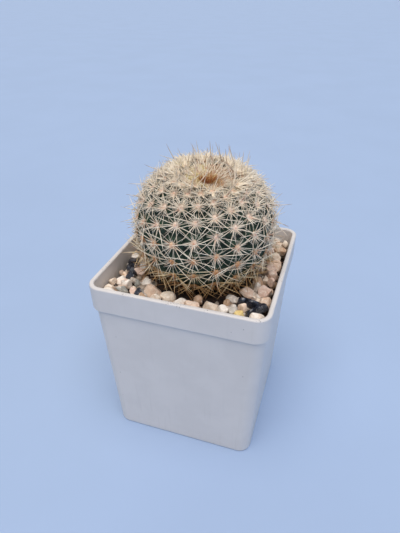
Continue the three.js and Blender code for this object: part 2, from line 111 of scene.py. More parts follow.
# The fill
GAP = 0.3
SOIL_TOP = 58.5
BANK_TOP = 60.1
FREE_CENTRE = Vector((1.2, -1.6))
BANK_RADII = (12.6, 14.2, 16.6, 18.4)
BED_INNER_RADIUS = 18.4
SOIL_EDGE_RADII = (19.6, 22)
BED_SOIL = 1.7
STONE_LEVEL = POT_HEIGHT - 3.2
STONE_LEVEL_SPREAD = 0.7
STONE_SLOPES = Vector((0.03, -0.02))
STONE_KEEP_OUT = 18.3
STONE_TRIES = 2200
STONE_LENGTHS = (5.8, 3.2)
STONE_OVERLAP = 0.83
STONE_SUNK = 0.6
STONE_DETAIL = 4
DARK_STONE_SHARPNESS = math.radians(16)
SOIL_STEPS = 130
SOIL_LUMP_SIZE = 2.2
SOIL_LUMP_HEIGHT = 0.3
CRUMB_RING = (12, 21.5)
FIBRES = 70
FIBRE_RING = (14, 20)
FIBRE_LENGTHS = (2, 4.5)

# How the stones are ground: flats, their distances from the middle, wear, and size beside the solid ones
PALE_GRIND = {"facets": 11, "edge": (0.48, 0.85), "worn": 0.3, "fill": 0.985}
DARK_GRIND = {"facets": 9, "edge": (0.4, 0.72), "worn": 0.04, "fill": 1.1}

# The plant, in its own frame about the middle of its globe
PLANT_CENTRE = Vector((1.2, 0, POT_HEIGHT + 12.5))
LEAN = math.radians(8)
LEAN_AZIMUTH = math.radians(-38)
GLOBE_RADIUS = 22.9
GLOBE_HEIGHT = 20
GLOBE_DEPTH = 18.4
GLOBE_SQUARENESS = 2.3
DENT_DEPTH = 3.4
DENT_RADIUS = 7.5
HOLLOW_DEPTH = 0.24
HOLLOW_REACH = 0.58
FURROW_WIDTH = 0.35
SWELL_HEIGHT = 0.16
SWELL_SIZE = 2.6
CORK_HEIGHTS = (-13, -19)
ROOT_PROFILE = ((10, -17), (9.2, -21), (6.5, -27), (4, -34), (1.5, -41))
ROOT_TOP = -12
ROOT_TIP = -42
ROOT_SIDES = 48
DIVERGENCE = math.radians(137.09)
AREOLE_PHASE = math.radians(-36.7)
AREOLE_CELLS = ((0, 4), (8, 9.4), (14, 17.6), (20, 29), (26, 41), (36, 40), (80, 42))
HONEYCOMB = math.sqrt(3) / 2
LOWEST_AREOLE = -14.7
CROWN_REACH = 8.6
FLESH_DETAIL = 7

# How the areoles change, by their distance from the tip along the skin or by their height
CROWN_EDGE = (5, 12)
CROWN_AGES = (0.13, 0.24)
AGED_HEIGHTS = (10, -13)
AGED_BY = 0.76
YOUNG_ZONE = (19, 9)
TUFTED_ZONE = (14, 9)
FLUFFY_HEIGHTS = (8, 15)
BARED = 0.55

# Needles, of which all spines, hairs and fibres are made, and the room that they keep
NEEDLE_SIDES = 5
NEEDLE_CUTS = 3
NEEDLE_TIP = 0.1
SPINE_HEADROOM = 0.5
SPINE_STEP = 0.5
SPINE_LIFTS = (0, 0.25, 0.55, 0.9)
STONE_HEADROOM = 0.15

# The needles of each kind of spine: thickness and bends as shares of the length, and how they taper
RADIAL_NEEDLES = {"thickness": 0.037, "bends": (0.03, -0.06, -0.13), "taper": 0.45}
STAR_NEEDLES = {"thickness": 0.13, "bends": (-0.1, 0.05), "taper": 0.6, "cuts": 2, "sides": 4}
CENTRAL_NEEDLES = {"thickness": 0.055, "bends": (-0.06, 0.05, 0.12), "taper": 0.6, "cuts": 4}
YOUNG_NEEDLES = {"thickness": 0.065, "bends": (-0.12, 0.0, 0.1), "taper": 0.6}
YOUNG_LONG_NEEDLES = {"thickness": 0.045, "bends": (-0.08, 0.08), "taper": 0.6}

# The spines and felt of an areole: the shortest spines kept, extra ones, and the ages that change them
RADIAL_SHORTEST = 1.4
RADIAL_EXTRA = 5
RADIAL_OLD_AGES = (0.62, 0.95)
STAR_SHORTEST = 1
STAR_OLD_AGES = (0.45, 0.95)
TUFT_EXTRA = 14
FLUFF_EXTRA = 9
CENTRAL_SHORTEST = 2
CENTRAL_EXTRA = 2.2
CENTRAL_OLD_AGES = (0.55, 0.95)
CENTRAL_TURNS = (-math.pi / 2, 0.3 * math.pi, 0.72 * math.pi, -0.25 * math.pi, -0.75 * math.pi)
FELT_SIZES = (2, 2.15)
FELT_ZONE = (8, 22)
LINT_HAIRS = 16

# The crown: wool that lines the dent, a brown heart of bristles, and tufts that part round the heart
WOOL_RADIUS = 7.8
WOOL_HALF_HEIGHT = 0.8
WOOL_DETAIL = 6
WOOL_HAIRS = 1500
HEART_CENTRE = Vector((-0.1, -2.8, 0))
HEART_RADIUS = 1.9
HEART_SUNK = 0.4
HEART_BRISTLES = 90
HEART_LENGTHS = (2, 3.4)
STRAW_SIDE = Vector((-0.85, -0.2, 0))
STRAW_SPREAD = (-1.6, 1.2)
TUFT_CENTRE = Vector((0, -4, 0))
TUFT_EDGE = (3, 6.5)
TUFT_COUNTS = (26, 18)
TUFT_LENGTHS = (2.4, 3.9)
YOUNG_LONG_LENGTHS = (4.4, 7)
SPIRAL_TURN = 2.4
UPRIGHT = Vector((0, 0, 1))

# Tones of the pale stones, as places along the ramp of their colours
TONES = {
    "cream": 0.0, "beige": 0.15, "peach": 0.3, "pink": 0.44, "tan": 0.58, "grey": 0.72, "slate": 0.85,
    "yellow": 1.0,
}
TONE_SPREAD = 0.03
COMMON_TONES = ("cream", "beige", "beige", "peach", "pink", "tan", "grey", "beige")

# Stones that lie where the eye falls, as (x, y, length, width, turn in degrees, tone)
PALE_STONES = (
    (-25, -15.4, 4.4, 4.4, 0, "cream"),
    (-19.7, -10.3, 4.4, 4.2, 20, "pink"),
    (-21.2, -21.5, 4.4, 3, 20, "slate"),
    (-20.6, -18.7, 3.4, 3, 10, "cream"),
    (-17.4, -20.9, 3.4, 3, 15, "pink"),
    (-17.4, -17.2, 2.8, 2.6, 0, "slate"),
    (-19.8, -15.2, 2.6, 2.4, 30, "grey"),
    (-13, -23.4, 3, 2.4, 10, "tan"),
    (-11.1, -19.3, 7.3, 4.6, 16, "peach"),
    (-8, -23.6, 4, 3, 18, "beige"),
    (0, -23, 5.6, 4, 12, "cream"),
    (3.9, -23.4, 5.6, 3.6, 24, "peach"),
    (5.3, -20, 3.2, 3.2, 60, "tan"),
    (9.7, -21.7, 5.4, 3.6, 24, "beige"),
    (13.9, -22.8, 4.2, 3.4, 8, "cream"),
    (15.7, -15.6, 5, 3.6, 24, "grey"),
    (17.2, -21.2, 3.4, 3.4, 60, "grey"),
    (14.4, -18.7, 2.4, 2.2, 0, "tan"),
    (19.9, -19.9, 3.2, 2.8, 20, "peach"),
    (19.5, -23.3, 4, 3, 20, "yellow"),
    (25.4, -23.4, 5.2, 3.8, 18, "cream"),
    (19.3, -10.8, 5.6, 4.4, 12, "peach"),
    (25.6, -14, 4.2, 3.8, 0, "peach"),
    (25, -9, 5.2, 4.4, 30, "pink"),
    (21.8, -4.6, 4.4, 4.4, 60, "tan"),
    (26, -3.6, 3, 2.6, 0, "pink"),
    (25.6, 0.6, 4.2, 3.8, 10, "pink"),
    (25.4, 9.2, 5.4, 5.4, 60, "peach"),
    (25, 18.4, 5.6, 4.2, 15, "tan"),
    (22.4, 25, 4.4, 3.6, 0, "beige"),
)
DARK_STONES = {
    "front_right": (
        (21.9, -16.2, 5.4, 5.2, -20),
        (24.8, -18.6, 5.4, 3.4, 14),
        (22.9, -21, 3.4, 5, 0),
        (19.1, -16.4, 3.2, 2.8, 20),
    ),
    "left": ((-22.5, -11.6, 3.6, 6.6, 10), (-23.9, -7.2, 4.2, 5.4, 15), (-24.9, -4.2, 3.8, 4, 0)),
    "front_left": ((-14.9, -22, 2.6, 2.4, 10),),
    "back_left": ((-19.6, 19.4, 4.6, 4.2, 25), (-21.6, 21.4, 4.2, 4.2, 70)),
    "back": ((9.5, 22.8, 5, 3.8, -15),),
}

# The camera, fitted to the pot's edges: its place from the middle of the mouth, in its own directions
CAMERA_AZIMUTH = math.radians(18.105)
CAMERA_ELEVATION = math.radians(32.873)
CAMERA_ROLL = math.radians(-0.189)
CAMERA_DISTANCE = 155.47
CAMERA_RIGHT = -0.596
CAMERA_UP = -4.064
CAMERA_LENS = 29.556
CAMERA_SENSOR = 36

# The stage, with the suns' names, colours, turns from the front to the right, heights and softness
FLOOR_HALF = 9
ROOM_COLOUR = (0.78, 0.9, 1.0)
SUNS = (
    ("key_light", (1.0, 0.93, 0.88), math.radians(8), math.radians(70), math.radians(60)),
    ("fill_light", (0.24, 0.5, 1.0), math.radians(88), math.radians(28), math.radians(80)),
    ("back_light", (1.0, 0.96, 0.92), math.radians(205), math.radians(34), math.radians(80)),
)


def shade(code):
    """A colour as Blender counts it, from the six digits that a painter would write"""
    parts = [int(code[i:i + 2], 16) / 255 for i in (0, 2, 4)]
    return tuple(c / 12.92 if c <= 0.04045 else ((c + 0.055) / 1.055) ** 2.4 for c in parts)


def share_of(value, low, high):
    """How far a value is on its way from low to high, from 0 to 1"""
    return min(1, max(0, (value - low) / (high - low)))


def smooth_share(value, low, high):
    share = share_of(value, low, high)
    return share * share * (3 - 2 * share)


def mix(share, first, second):
    return first + (second - first) * share


def along_line(value, in_low, in_high, out_low, out_high):
    return out_low + (value - in_low) * (out_high - out_low) / (in_high - in_low)


def seeded_random(seed):
    """Repeatable random numbers from 0 to 1, the same ones that placed the solid stones"""
    state = seed

    def draw():
        nonlocal state
        state = (state * 1664525 + 1013904223) & 0xFFFFFFFF
        return state / 2**32

    return draw


# Settings that a user would change


def length_setting(name, description, default):
    """A small length in metres, with the decimals that a tenth of a millimetre needs"""
    return FloatProperty(
        name=name, description=description, default=default, min=0, unit="LENGTH", precision=5, step=0.01
    )


def colour_setting(name, description, code):
    return FloatVectorProperty(
        name=name, description=description, default=shade(code), subtype="COLOR", size=3, min=0, max=1
    )


def share_setting(name, description, default):
    return FloatProperty(
        name=name, description=description, default=default, min=0, max=1, subtype="FACTOR"
    )


def count_setting(name, description, default, least=0):
    return IntProperty(name=name, description=description, default=default, min=least)


def strength_setting(name, description, default):
    return FloatProperty(name=name, description=description, default=default, min=0)


class PotSettings(PropertyGroup):
    plastic: colour_setting("Plastic", "Colour of the moulded plastic", "dedad8")
    dust: colour_setting("Dust", "Colour of the dry dust on the inner wall", "beb3a8")
    scuffs: share_setting("Scuffs", "How dark the scuffs and specks are", 0.6)
    roughness: share_setting("Roughness", "Roughness of the plastic", 0.36)


class FillSettings(PropertyGroup):
    soil: colour_setting("Soil", "Colour of the potting soil", "2b201a")
    dark_stone: colour_setting("Dark stone", "Colour of the dark gravel", "20222b")
    crumbs: count_setting("Soil crumbs", "Number of loose crumbs on the soil", 520)
    grit: count_setting("Grit", "Number of small stones between the large ones", 560)
    grit_size: length_setting("Grit size", "Length of a middling piece of grit", 0.0019)


class PlantSettings(PropertyGroup):
    flesh: colour_setting("Flesh", "Green of the stem between its spines", "1b3222")
    young_spine: colour_setting("Young spine", "Straw colour of the spines near the crown", "f6e9d2")
    spine: colour_setting("Spine", "Cream colour of the grown spines", "f8eedb")
    old_spine: colour_setting("Old spine", "Tan colour of the lowest spines", "dfb883")
    spine_tip: colour_setting("Spine tip", "Brown of the long spines' tips", "8f5f4e")
    wool: colour_setting("Wool", "Colour of the crown's wool", "e8d8a6")
    radial_spines: count_setting("Radial spines", "Spines in the ring of one areole", 11, 3)
    radial_length: length_setting("Radial length", "Length of the spines in the ring", 0.0074)
    star_spines: count_setting("Star spines", "Short spines round the middle of one areole", 18)
    star_length: length_setting("Star length", "Length of the short spines", 0.0024)
    central_spines: count_setting("Central spines", "Long spines in the middle of one areole", 1)
    central_length: length_setting("Central length", "Length of the spines in the middle", 0.0088)


class StageSettings(PropertyGroup):
    floor: colour_setting("Floor", "Colour of the plain floor", "a3b9da")
    key_light: strength_setting("Key light", "Strength of the large warm light overhead", 2.8)
    fill_light: strength_setting("Fill light", "Strength of the blue light from the right", 0.38)
    back_light: strength_setting("Back light", "Strength of the soft light from behind", 0.5)
    room_light: strength_setting("Room light", "Strength of the even light from all round", 0.24)


# Finishes


class Finish:
    """A material on the bench: short ways to its grains, colours and bumps"""

    def __init__(self, name):
        self.material = bpy.data.materials.new(name)
        self.material.use_nodes = True
        self.tree = self.material.node_tree
        self.shader = self.tree.nodes["Principled BSDF"]
        self.place = self.add("TexCoord", output="Object")

    def add(self, kind, inputs=(), output=0, **settings):
        """Adds a node and gives one of its outputs"""
        node = self.tree.nodes.new("ShaderNode" + kind)
        for name, value in settings.items():
            setattr(node, name, value)
        self.connect(node, dict(inputs))
        return node.outputs[output]

    def connect(self, node, inputs):
        for key, value in inputs.items():
            if isinstance(value, bpy.types.NodeSocket):
                self.tree.links.new(value, node.inputs[key])
            else:
                node.inputs[key].default_value = value

    def set(self, **inputs):
        """Sets the shader's own sockets; an underscore stands for a space"""
        named = {}
        for key, value in inputs.items():
            words = key.replace("_", " ")
            named[words] = (*value, 1) if isinstance(value, tuple) and len(value) == 3 else value
        self.connect(self.shader, named)

    def attribute(self, name):
        return self.add("Attribute", output="Fac", attribute_name=name)

    def mapped(self, size, stretch=(1, 1, 1)):
        """The place on the piece, counted in lumps of a size in millimetres"""
        scale = [1 / (size * MM * s) for s in stretch]
        return self.add("Mapping", {"Vector": self.place, "Scale": scale})

    def grain(self, size, detail=3, rough=0.55, stretch=(1, 1, 1)):
        """Cloudy noise with lumps of a size in millimetres"""
        inputs = {"Vector": self.mapped(size, stretch), "Scale": 1, "Detail": detail, "Roughness": rough}
        return self.add("TexNoise", inputs)

    def cells(self, size, output="Distance"):
        """Scattered cells of a size in millimetres: how far their middles are, or a colour for each"""
        return self.add("TexVoronoi", {"Vector": self.mapped(size), "Scale": 1}, output)

    def step(self, value, low, high, start=0, end=1):
        """A smooth step from start to end as the value goes from low to high"""
        inputs = {"Value": value, "From Min": low, "From Max": high, "To Min": start, "To Max": end}
        return self.add("MapRange", inputs, interpolation_type="SMOOTHSTEP")

    def climb(self, band, start=0, end=1):
        """A smooth step from start to end as the height goes through a band, in millimetres"""
        height = self.add("SeparateXYZ", {"Vector": self.place}, "Z")
        return self.step(height, band[0] * MM, band[1] * MM, start, end)

    def sums(self, first, second, how="MULTIPLY"):
        """Multiplies two values, or joins them another way"""
        return self.add("Math", {0: first, 1: second}, operation=how)

    def blend(self, factor, first, second, how="MIX"):
        """Lays the second colour over the first one"""
        colours = [(*c, 1) if isinstance(c, tuple) and len(c) == 3 else c for c in (first, second)]
        inputs = {0: factor, 6: colours[0], 7: colours[1]}
        return self.add("Mix", inputs, 2, data_type="RGBA", blend_type=how)

    def ramp(self, value, *stops):
        """A colour for each value, from stops of (place, colour)"""
        node = self.tree.nodes.new("ShaderNodeValToRGB")
        self.connect(node, {0: value})
        elements = node.color_ramp.elements
        while len(elements) < len(stops):
            elements.new(0.5)
        for element, (place, colour) in zip(elements, stops):
            element.position = place
            element.color = (*colour, 1)
        return node.outputs["Color"]

    def bump(self, *heights):
        """Stacks bumps, each a height from 0 to 1 with its depth in millimetres"""
        normal = None
        for height, depth in heights:
            inputs = {"Height": height, "Distance": depth * MM, "Strength": 1}
            if normal:
                inputs["Normal"] = normal
            normal = self.add("Bump", inputs, "Normal")
        self.connect(self.shader, {"Normal": normal})


def plastic_finish(settings):
    """White moulded plastic: faint clouds and flow lines, dust inside, specks and a scuffed rim"""
    finish = Finish("white_moulded_plastic")
    plastic = tuple(settings.plastic)
    inside = finish.attribute("inside")
    clouds = finish.grain(11, 4)
    colour = finish.blend(finish.step(clouds, 0.35, 0.65), plastic, tuple(c * 0.955 for c in plastic))
    flow = finish.step(finish.grain(1.6, 2, stretch=(1, 1, 16)), 0.56, 0.74)
    low_wall = finish.climb(FLOW_BAND, 0.14, 0.04)
    colour = finish.blend(finish.sums(flow, low_wall), colour, tuple(c * 0.62 for c in plastic))
    dusty = finish.step(finish.grain(2.4, 5), 0.34, 0.62, 0.25, 1)
    near_gravel = finish.climb(DUST_BAND, 0.8, 0.08)
    dust_cover = finish.sums(finish.sums(dusty, near_gravel), inside)
    colour = finish.blend(dust_cover, colour, tuple(settings.dust))
    rim_scuffs = finish.step(finish.grain(0.5, 4, 0.7), 0.56, 0.63)
    worn = finish.step(finish.grain(6, 2), 0.5, 0.6)
    on_rim = finish.climb(RIM_BAND)
    specks = finish.step(finish.cells(3.1), 0.075, 0.04)
    sparse = finish.step(finish.grain(9, 1), 0.55, 0.6)
    marks = finish.sums(finish.sums(rim_scuffs, worn), on_rim)
    marks = finish.sums(marks, finish.sums(specks, sparse), "MAXIMUM")
    colour = finish.blend(finish.sums(marks, settings.scuffs), colour, shade("4a4744"))
    rough = finish.step(finish.grain(3, 4), 0.3, 0.7, settings.roughness, settings.roughness + 0.12)
    finish.set(Base_Color=colour, Roughness=finish.sums(rough, finish.sums(dust_cover, 0.3), "ADD"))
    finish.set(IOR=1.49, Specular_IOR_Level=0.45)
    finish.bump((finish.grain(9, 2), 0.05), (finish.grain(0.5, 3), 0.004), (marks, -0.02))
    return finish.material


def soil_finish(settings):
    """Damp peat: near black, with brown crumbs and a few pale specks"""
    finish = Finish("potting_soil")
    soil = tuple(settings.soil)
    crumbs = finish.grain(0.8, 6, 0.65)
    colour = finish.ramp(crumbs, (0.3, tuple(c * 0.35 for c in soil)), (0.5, soil),
                         (0.72, tuple(min(1, c * 2.6) for c in soil)))
    bark = finish.step(finish.cells(1.4, "Color"), 0.62, 0.7)
    colour = finish.blend(finish.sums(bark, 0.5), colour, shade("4a2f20"))
    specks = finish.step(finish.cells(1.1), 0.13, 0.08)
    colour = finish.blend(finish.sums(specks, 0.5), colour, shade("a08a70"))
    finish.set(Base_Color=colour, Roughness=finish.step(crumbs, 0.3, 0.7, 0.78, 0.97))
    finish.bump((finish.grain(1.7, 5), 0.35), (finish.grain(0.35, 4), 0.09))
    return finish.material


def pale_stone_finish():
    """River stones: a tone for each, clouded, speckled and stained, with painted shade on their lower sides,
    and fine pits
    """
    finish = Finish("pale_river_stone")
    tone = finish.attribute("tone")
    colour = finish.ramp(
        tone, (0.0, shade("fbf4ea")), (0.15, shade("efe0cd")), (0.3, shade("f3dac4")),
        (0.44, shade("e9d0c2")), (0.58, shade("cbab8c")), (0.72, shade("d3cfc8")),
        (0.85, shade("8d918c")), (0.97, shade("ead08a")),
    )
    clouds = finish.grain(1.5, 5, 0.6)
    colour = finish.blend(finish.step(clouds, 0.42, 0.7, 0, 0.4), colour, shade("c8a68c"), "MULTIPLY")
    stain = finish.step(finish.grain(2.1, 3), 0.58, 0.72, 0, 0.5)
    colour = finish.blend(stain, colour, shade("d3a380"))
    pale = finish.step(finish.grain(0.9, 3), 0.54, 0.68, 0, 0.6)
    colour = finish.blend(pale, colour, shade("fff6ea"))
    specks = finish.step(finish.cells(0.55), 0.14, 0.07, 0, 0.4)
    colour = finish.blend(specks, colour, shade("7a6353"))
    # Painted shade: the lower side of each stone, and the grit down in the gaps, darkened towards a soil
    # brown
    shade_below = finish.step(finish.attribute("low"), 0.5, 1, 0, 0.75)
    colour = finish.blend(shade_below, colour, shade("4b3d33"))
    finish.set(Base_Color=colour, Roughness=finish.step(clouds, 0.3, 0.7, 0.62, 0.86))
    finish.bump((finish.grain(1.2, 5), 0.16), (finish.grain(0.22, 4, 0.7), 0.035))
    return finish.material


def dark_stone_finish(settings):
    """Black glassy stone, clouded bluish, with paler dusty patches"""
    finish = Finish("black_glassy_stone")
    stone = tuple(settings.dark_stone)
    clouds = finish.grain(1.3, 5)
    colour = finish.blend(finish.step(clouds, 0.4, 0.7), stone, shade("3c4150"))
    dust = finish.step(finish.grain(0.7, 5, 0.7), 0.58, 0.7, 0, 0.5)
    colour = finish.blend(dust, colour, shade("8b8884"))
    finish.set(Base_Color=colour, Roughness=finish.step(finish.grain(0.9, 3), 0.35, 0.65, 0.08, 0.32))
    finish.set(Specular_IOR_Level=0.95)
    finish.bump((finish.grain(0.9, 4), 0.1), (finish.grain(0.25, 3), 0.02))
    return finish.material


def flesh_finish(settings):
    """Green skin: painted shade in the furrows, a painted grey-green highlight on the humps, corky round the
    base
    """
    finish = Finish("cactus_skin")
    flesh = tuple(settings.flesh)
    furrow = finish.attribute("furrow")
    base = finish.attribute("base")
    patches = finish.grain(2.6, 4)
    # Painted shade: the furrows get a darker copy of the green
    colour = finish.blend(finish.step(furrow, 0.25, 1), flesh, tuple(c * 0.3 for c in flesh))
    colour = finish.blend(finish.step(patches, 0.4, 0.68, 0, 0.5), colour, shade("2f4a39"))
    # Painted highlight: paler grey-green on the humps, away from the furrows
    painted_hump_highlight = finish.step(finish.grain(0.9, 4), 0.38, 0.66, 0.05, 0.4)
    colour = finish.blend(finish.sums(finish.step(furrow, 0.55, 0.05), painted_hump_highlight), colour, shade("4e6955"))
    stipple = finish.step(finish.cells(0.34), 0.28, 0.12, 0, 0.22)
    colour = finish.blend(stipple, colour, shade("668068"))
    cork = finish.sums(base, finish.step(finish.grain(1.4, 5), 0.3, 0.6))
    colour = finish.blend(cork, colour, shade("86694b"))
    finish.set(Base_Color=colour, Roughness=finish.step(patches, 0.3, 0.7, 0.42, 0.6))
    finish.set(Specular_IOR_Level=0.4)
    finish.bump((finish.grain(0.8, 3), 0.06), (finish.cells(0.34), 0.02), (finish.grain(0.18, 3), 0.012))
    return finish.material


def spine_finish(settings):
    """Horn-like spines: a warm root, a cream shaft and, on the long ones, a brown tip"""
    finish = Finish("cactus_spine")
    along = finish.attribute("along")
    age = finish.attribute("age")
    tint = finish.attribute("tint")
    strong = finish.attribute("strong")
    cream = tuple(settings.spine)
    old = tuple(settings.old_spine)
    shaft = finish.ramp(
        age, (0.0, shade("b05a22")), (0.06, shade("c08f5a")), (0.105, shade("e0cf8e")),
        (0.16, tuple(settings.young_spine)), (0.24, cream), (0.6, cream), (0.76, shade("f3e0b4")),
        (0.88, old), (1.0, shade("b98a54")),
    )
    root = finish.ramp(
        age, (0.0, shade("8f4d24")), (0.1, shade("d3b375")), (0.24, shade("f3d6c6")), (0.4, shade("e9b797")),
        (0.56, shade("d99a68")), (0.76, shade("cf9a5e")), (1.0, shade("8f5c34")),
    )
    root = finish.blend(finish.sums(strong, 0.75), root, shade("b4674a"))
    root_end = finish.step(strong, 0, 1, 0.3, 0.55)
    rooted = finish.add("MapRange", {"Value": along, "From Min": 0.06, "From Max": root_end})
    colour = finish.blend(rooted, root, shaft)
    tip = finish.sums(finish.step(along, 0.58, 0.97), strong)
    colour = finish.blend(tip, colour, tuple(settings.spine_tip))
    colour = finish.blend(finish.step(tint, 0, 1, 0, 0.4), colour, shade("b8a292"), "MULTIPLY")
    finish.set(Base_Color=colour, Roughness=0.4, Specular_IOR_Level=0.5)
    finish.bump((finish.grain(0.12, 2, stretch=(1, 1, 3)), 0.008))
    return finish.material


def felt_finish():
    """Short felt on the areoles: cream round a pinkish middle, and orange brown near the soil"""
    finish = Finish("areole_felt")
    age = finish.attribute("age")
    rim = finish.ramp(
        age, (0.1, shade("efe2c0")), (0.24, shade("f9ead8")), (0.42, shade("f2cfac")), (0.6, shade("ebb580")),
        (0.8, shade("dba468")), (1.0, shade("a87344")),
    )
    middle = finish.ramp(
        age, (0.1, shade("d9b98a")), (0.24, shade("efc6ac")), (0.4, shade("e2a077")), (0.58, shade("dc9058")),
        (0.8, shade("c88850")), (1.0, shade("8f5a30")),
    )
    felt = finish.blend(finish.step(finish.attribute("along"), 0.35, 0.9), rim, middle)
    lint = finish.grain(0.16, 4, 0.7)
    colour = finish.blend(finish.step(lint, 0.42, 0.66, 0, 0.5), felt, shade("a87c66"), "MULTIPLY")
    finish.set(Base_Color=colour, Roughness=0.95, Sheen_Weight=0.35, Sheen_Roughness=0.5)
    finish.bump((lint, 0.05))
    return finish.material


def wool_finish(settings):
    """Crown wool: straw coloured, browner towards the growing tip"""
    finish = Finish("crown_wool")
    wool = tuple(settings.wool)
    lint = finish.grain(0.4, 5, 0.7)
    tan_side = finish.ramp(lint, (0.3, shade("7d5c3c")), (0.62, shade("c39c70")))
    straw_side = finish.ramp(lint, (0.3, shade("a8905c")), (0.62, wool))
    colour = finish.blend(finish.attribute("straw"), tan_side, straw_side)
    heart = finish.sums(finish.attribute("heart"), finish.step(finish.grain(1.2, 3), 0.3, 0.6, 0.5, 1))
    colour = finish.blend(heart, colour, shade("8f4f22"))
    finish.set(Base_Color=colour, Roughness=0.95, Sheen_Weight=0.3, Sheen_Roughness=0.6)
    finish.bump((lint, 0.2))
    return finish.material


def floor_finish(settings):
    finish = Finish("plain_floor")
    floor = tuple(settings.floor)
    clouds = finish.grain(90, 4)
    colour = finish.blend(finish.step(clouds, 0.3, 0.7), floor, tuple(c * 0.97 for c in floor))
    finish.set(Base_Color=colour, Roughness=0.75)
    return finish.material


# Modelling helpers


def mesh_of(bm, name):
    """Turns what was modelled into a mesh"""
    mesh = bpy.data.meshes.new(name)
    bm.to_mesh(mesh)
    bm.free()
    return mesh


def link_object(name, data):
    """Puts an object into the scene"""
    made = bpy.data.objects.new(name, data)
    bpy.context.scene.collection.objects.link(made)
    return made


def write_piece(bm, name, material, nodes, place=None):
    """Writes a mesh in metres as a piece at the origin, which rides on the pot and replaces solids"""
    scale = Matrix.Scale(MM, 4)
    bmesh.ops.transform(bm, matrix=scale @ place if place else scale, verts=bm.verts)
    mesh = mesh_of(bm, name)
    mesh.materials.append(material)
    piece = link_object(name, mesh)
    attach(piece, BODY)
    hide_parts(*nodes)
    return piece


def shade_smooth(bm, sharp_angle=math.pi):
    """Smooths every face, with sharp edges where two faces meet at more than an angle"""
    for face in bm.faces:
        face.smooth = True
    for edge in bm.edges:
        edge.smooth = edge.calc_face_angle(0) < sharp_angle


def layer_of(bm, name):
    """A named value that every point carries, made if it isn't there yet"""
    layers = bm.verts.layers.float
    return layers.get(name) or layers.new(name)


def ease_points(bm, verts, factor):
    """Draws points towards their neighbours, by a share of the way"""
    bmesh.ops.smooth_vert(
        bm, verts=verts, factor=factor, use_axis_x=True, use_axis_y=True, use_axis_z=True
    )


def upright_edges(bm):
    return [e for e in bm.edges if abs(e.verts[0].co.z - e.verts[1].co.z) > 0.5]


def bevel_edges(bm, edges, offset, segments):
    bmesh.ops.bevel(
        bm, geom=edges, offset=offset, offset_type="OFFSET", segments=segments, profile=0.5, material=-1,
        affect="EDGES",
    )


def roughen(verts, size, depth, seed):
    """Pushes points in and out by noise with lumps of a size"""
    offset = Vector((seed * 7.13, seed * 3.71, seed * 5.37))
    for vert in verts:
        push = noise.noise(vert.co / size + offset)
        vert.co += vert.co.normalized() * push * depth


def new_verts(bm, count):
    """The points that came after the first so many"""
    bm.verts.ensure_lookup_table()
    return bm.verts[count:]


def random_direction(rng):
    return Vector((rng.gauss(0, 1), rng.gauss(0, 1), rng.gauss(0, 1))).normalized()


def chunk_mesh(name, seed):
    """A rough little block with eased edges, for grit and crumbs"""
    rng = random.Random(seed)
    bm = bmesh.new()
    bmesh.ops.create_cube(bm, size=1.3)
    for vert in bm.verts:
        vert.co += random_direction(rng) * 0.22
    bevel_edges(bm, bm.edges[:], 0.3, 1)
    shade_smooth(bm)
    return mesh_of(bm, name)


def add_copy(bm, template, matrix, marks=()):
    """Adds a copy of a template mesh, with a value for each named mark on all its points"""
    start = len(bm.verts)
    copy = template.copy()
    copy.transform(matrix)
    bm.from_mesh(copy)
    bpy.data.meshes.remove(copy)
    verts = new_verts(bm, start)
    for layer, value in marks:
        for vert in verts:
            vert[layer] = value
    return verts


def turned_scale(rng, size, flatness=1.0):
    """A random turn and lopsided scale"""
    turn = Quaternion(random_direction(rng), rng.uniform(0, math.tau)).to_matrix().to_4x4()
    scale = Matrix.Diagonal((size * rng.uniform(0.8, 1.25), size, size * rng.uniform(0.6, 1) * flatness, 1))
    return turn @ scale


def drop_meshes(meshes):
    for mesh in meshes:
        bpy.data.meshes.remove(mesh)


def needle_mesh(name, thickness, bend, taper=0.8, cuts=NEEDLE_CUTS, sides=NEEDLE_SIDES):
    """A needle one unit long along +Z that bends towards +X, its root's thickness a share of its length"""
    bm = bmesh.new()
    bmesh.ops.create_cone(
        bm, cap_ends=True, segments=sides, radius1=thickness / 2, radius2=thickness / 2, depth=1
    )
    bmesh.ops.translate(bm, vec=(0, 0, 0.5), verts=bm.verts)
    bmesh.ops.subdivide_edges(bm, edges=upright_edges(bm), cuts=cuts)
    along = layer_of(bm, "along")
    for vert in bm.verts:
        t = vert.co.z
        width = max(NEEDLE_TIP, (1 - t) ** taper)
        vert.co.x = vert.co.x * width + bend * t * t
        vert.co.y *= width
        vert[along] = t
    shade_smooth(bm)
    return mesh_of(bm, name)


def needle_set(name, thickness, bends, **shape):
    """Needles of one thickness, one for each bend"""
    return [needle_mesh(f"{name}_{i}", thickness, bend, **shape) for i, bend in enumerate(bends)]


def aim(root, direction, towards, length):
    """Places a needle: its root, its direction, the way that it bends and its length"""
    along = direction.normalized()
    sideways = (towards - along * towards.dot(along)).normalized()
    across = along.cross(sideways)
    turn = Matrix((sideways, across, along)).transposed().to_4x4()
    return Matrix.Translation(root) @ turn @ Matrix.Scale(length, 4)


# The pot


def cavity_width(z):
    return along_line(z, FLOOR_TOP, POT_HEIGHT, CAVITY_FOOT_WIDTH, CAVITY_TOP_WIDTH)


def raise_face(bm, face, z, width):
    """Extrudes a level face to a height and gives it a new width"""
    face = bmesh.ops.extrude_discrete_faces(bm, faces=[face])["faces"][0]
    now = 2 * max(v.co.x for v in face.verts)
    ratio = width / now
    rise = z - face.verts[0].co.z
    bmesh.ops.scale(bm, vec=(ratio, ratio, 1), verts=face.verts)
    bmesh.ops.translate(bm, vec=(0, 0, rise), verts=face.verts)
    return face


def inset_face(bm, face, inwards, forwards):
    """Narrows a face all round and moves it along its normal"""
    bmesh.ops.inset_region(
        bm, faces=[face], thickness=inwards, depth=forwards, use_even_offset=True, use_boundary=True
    )


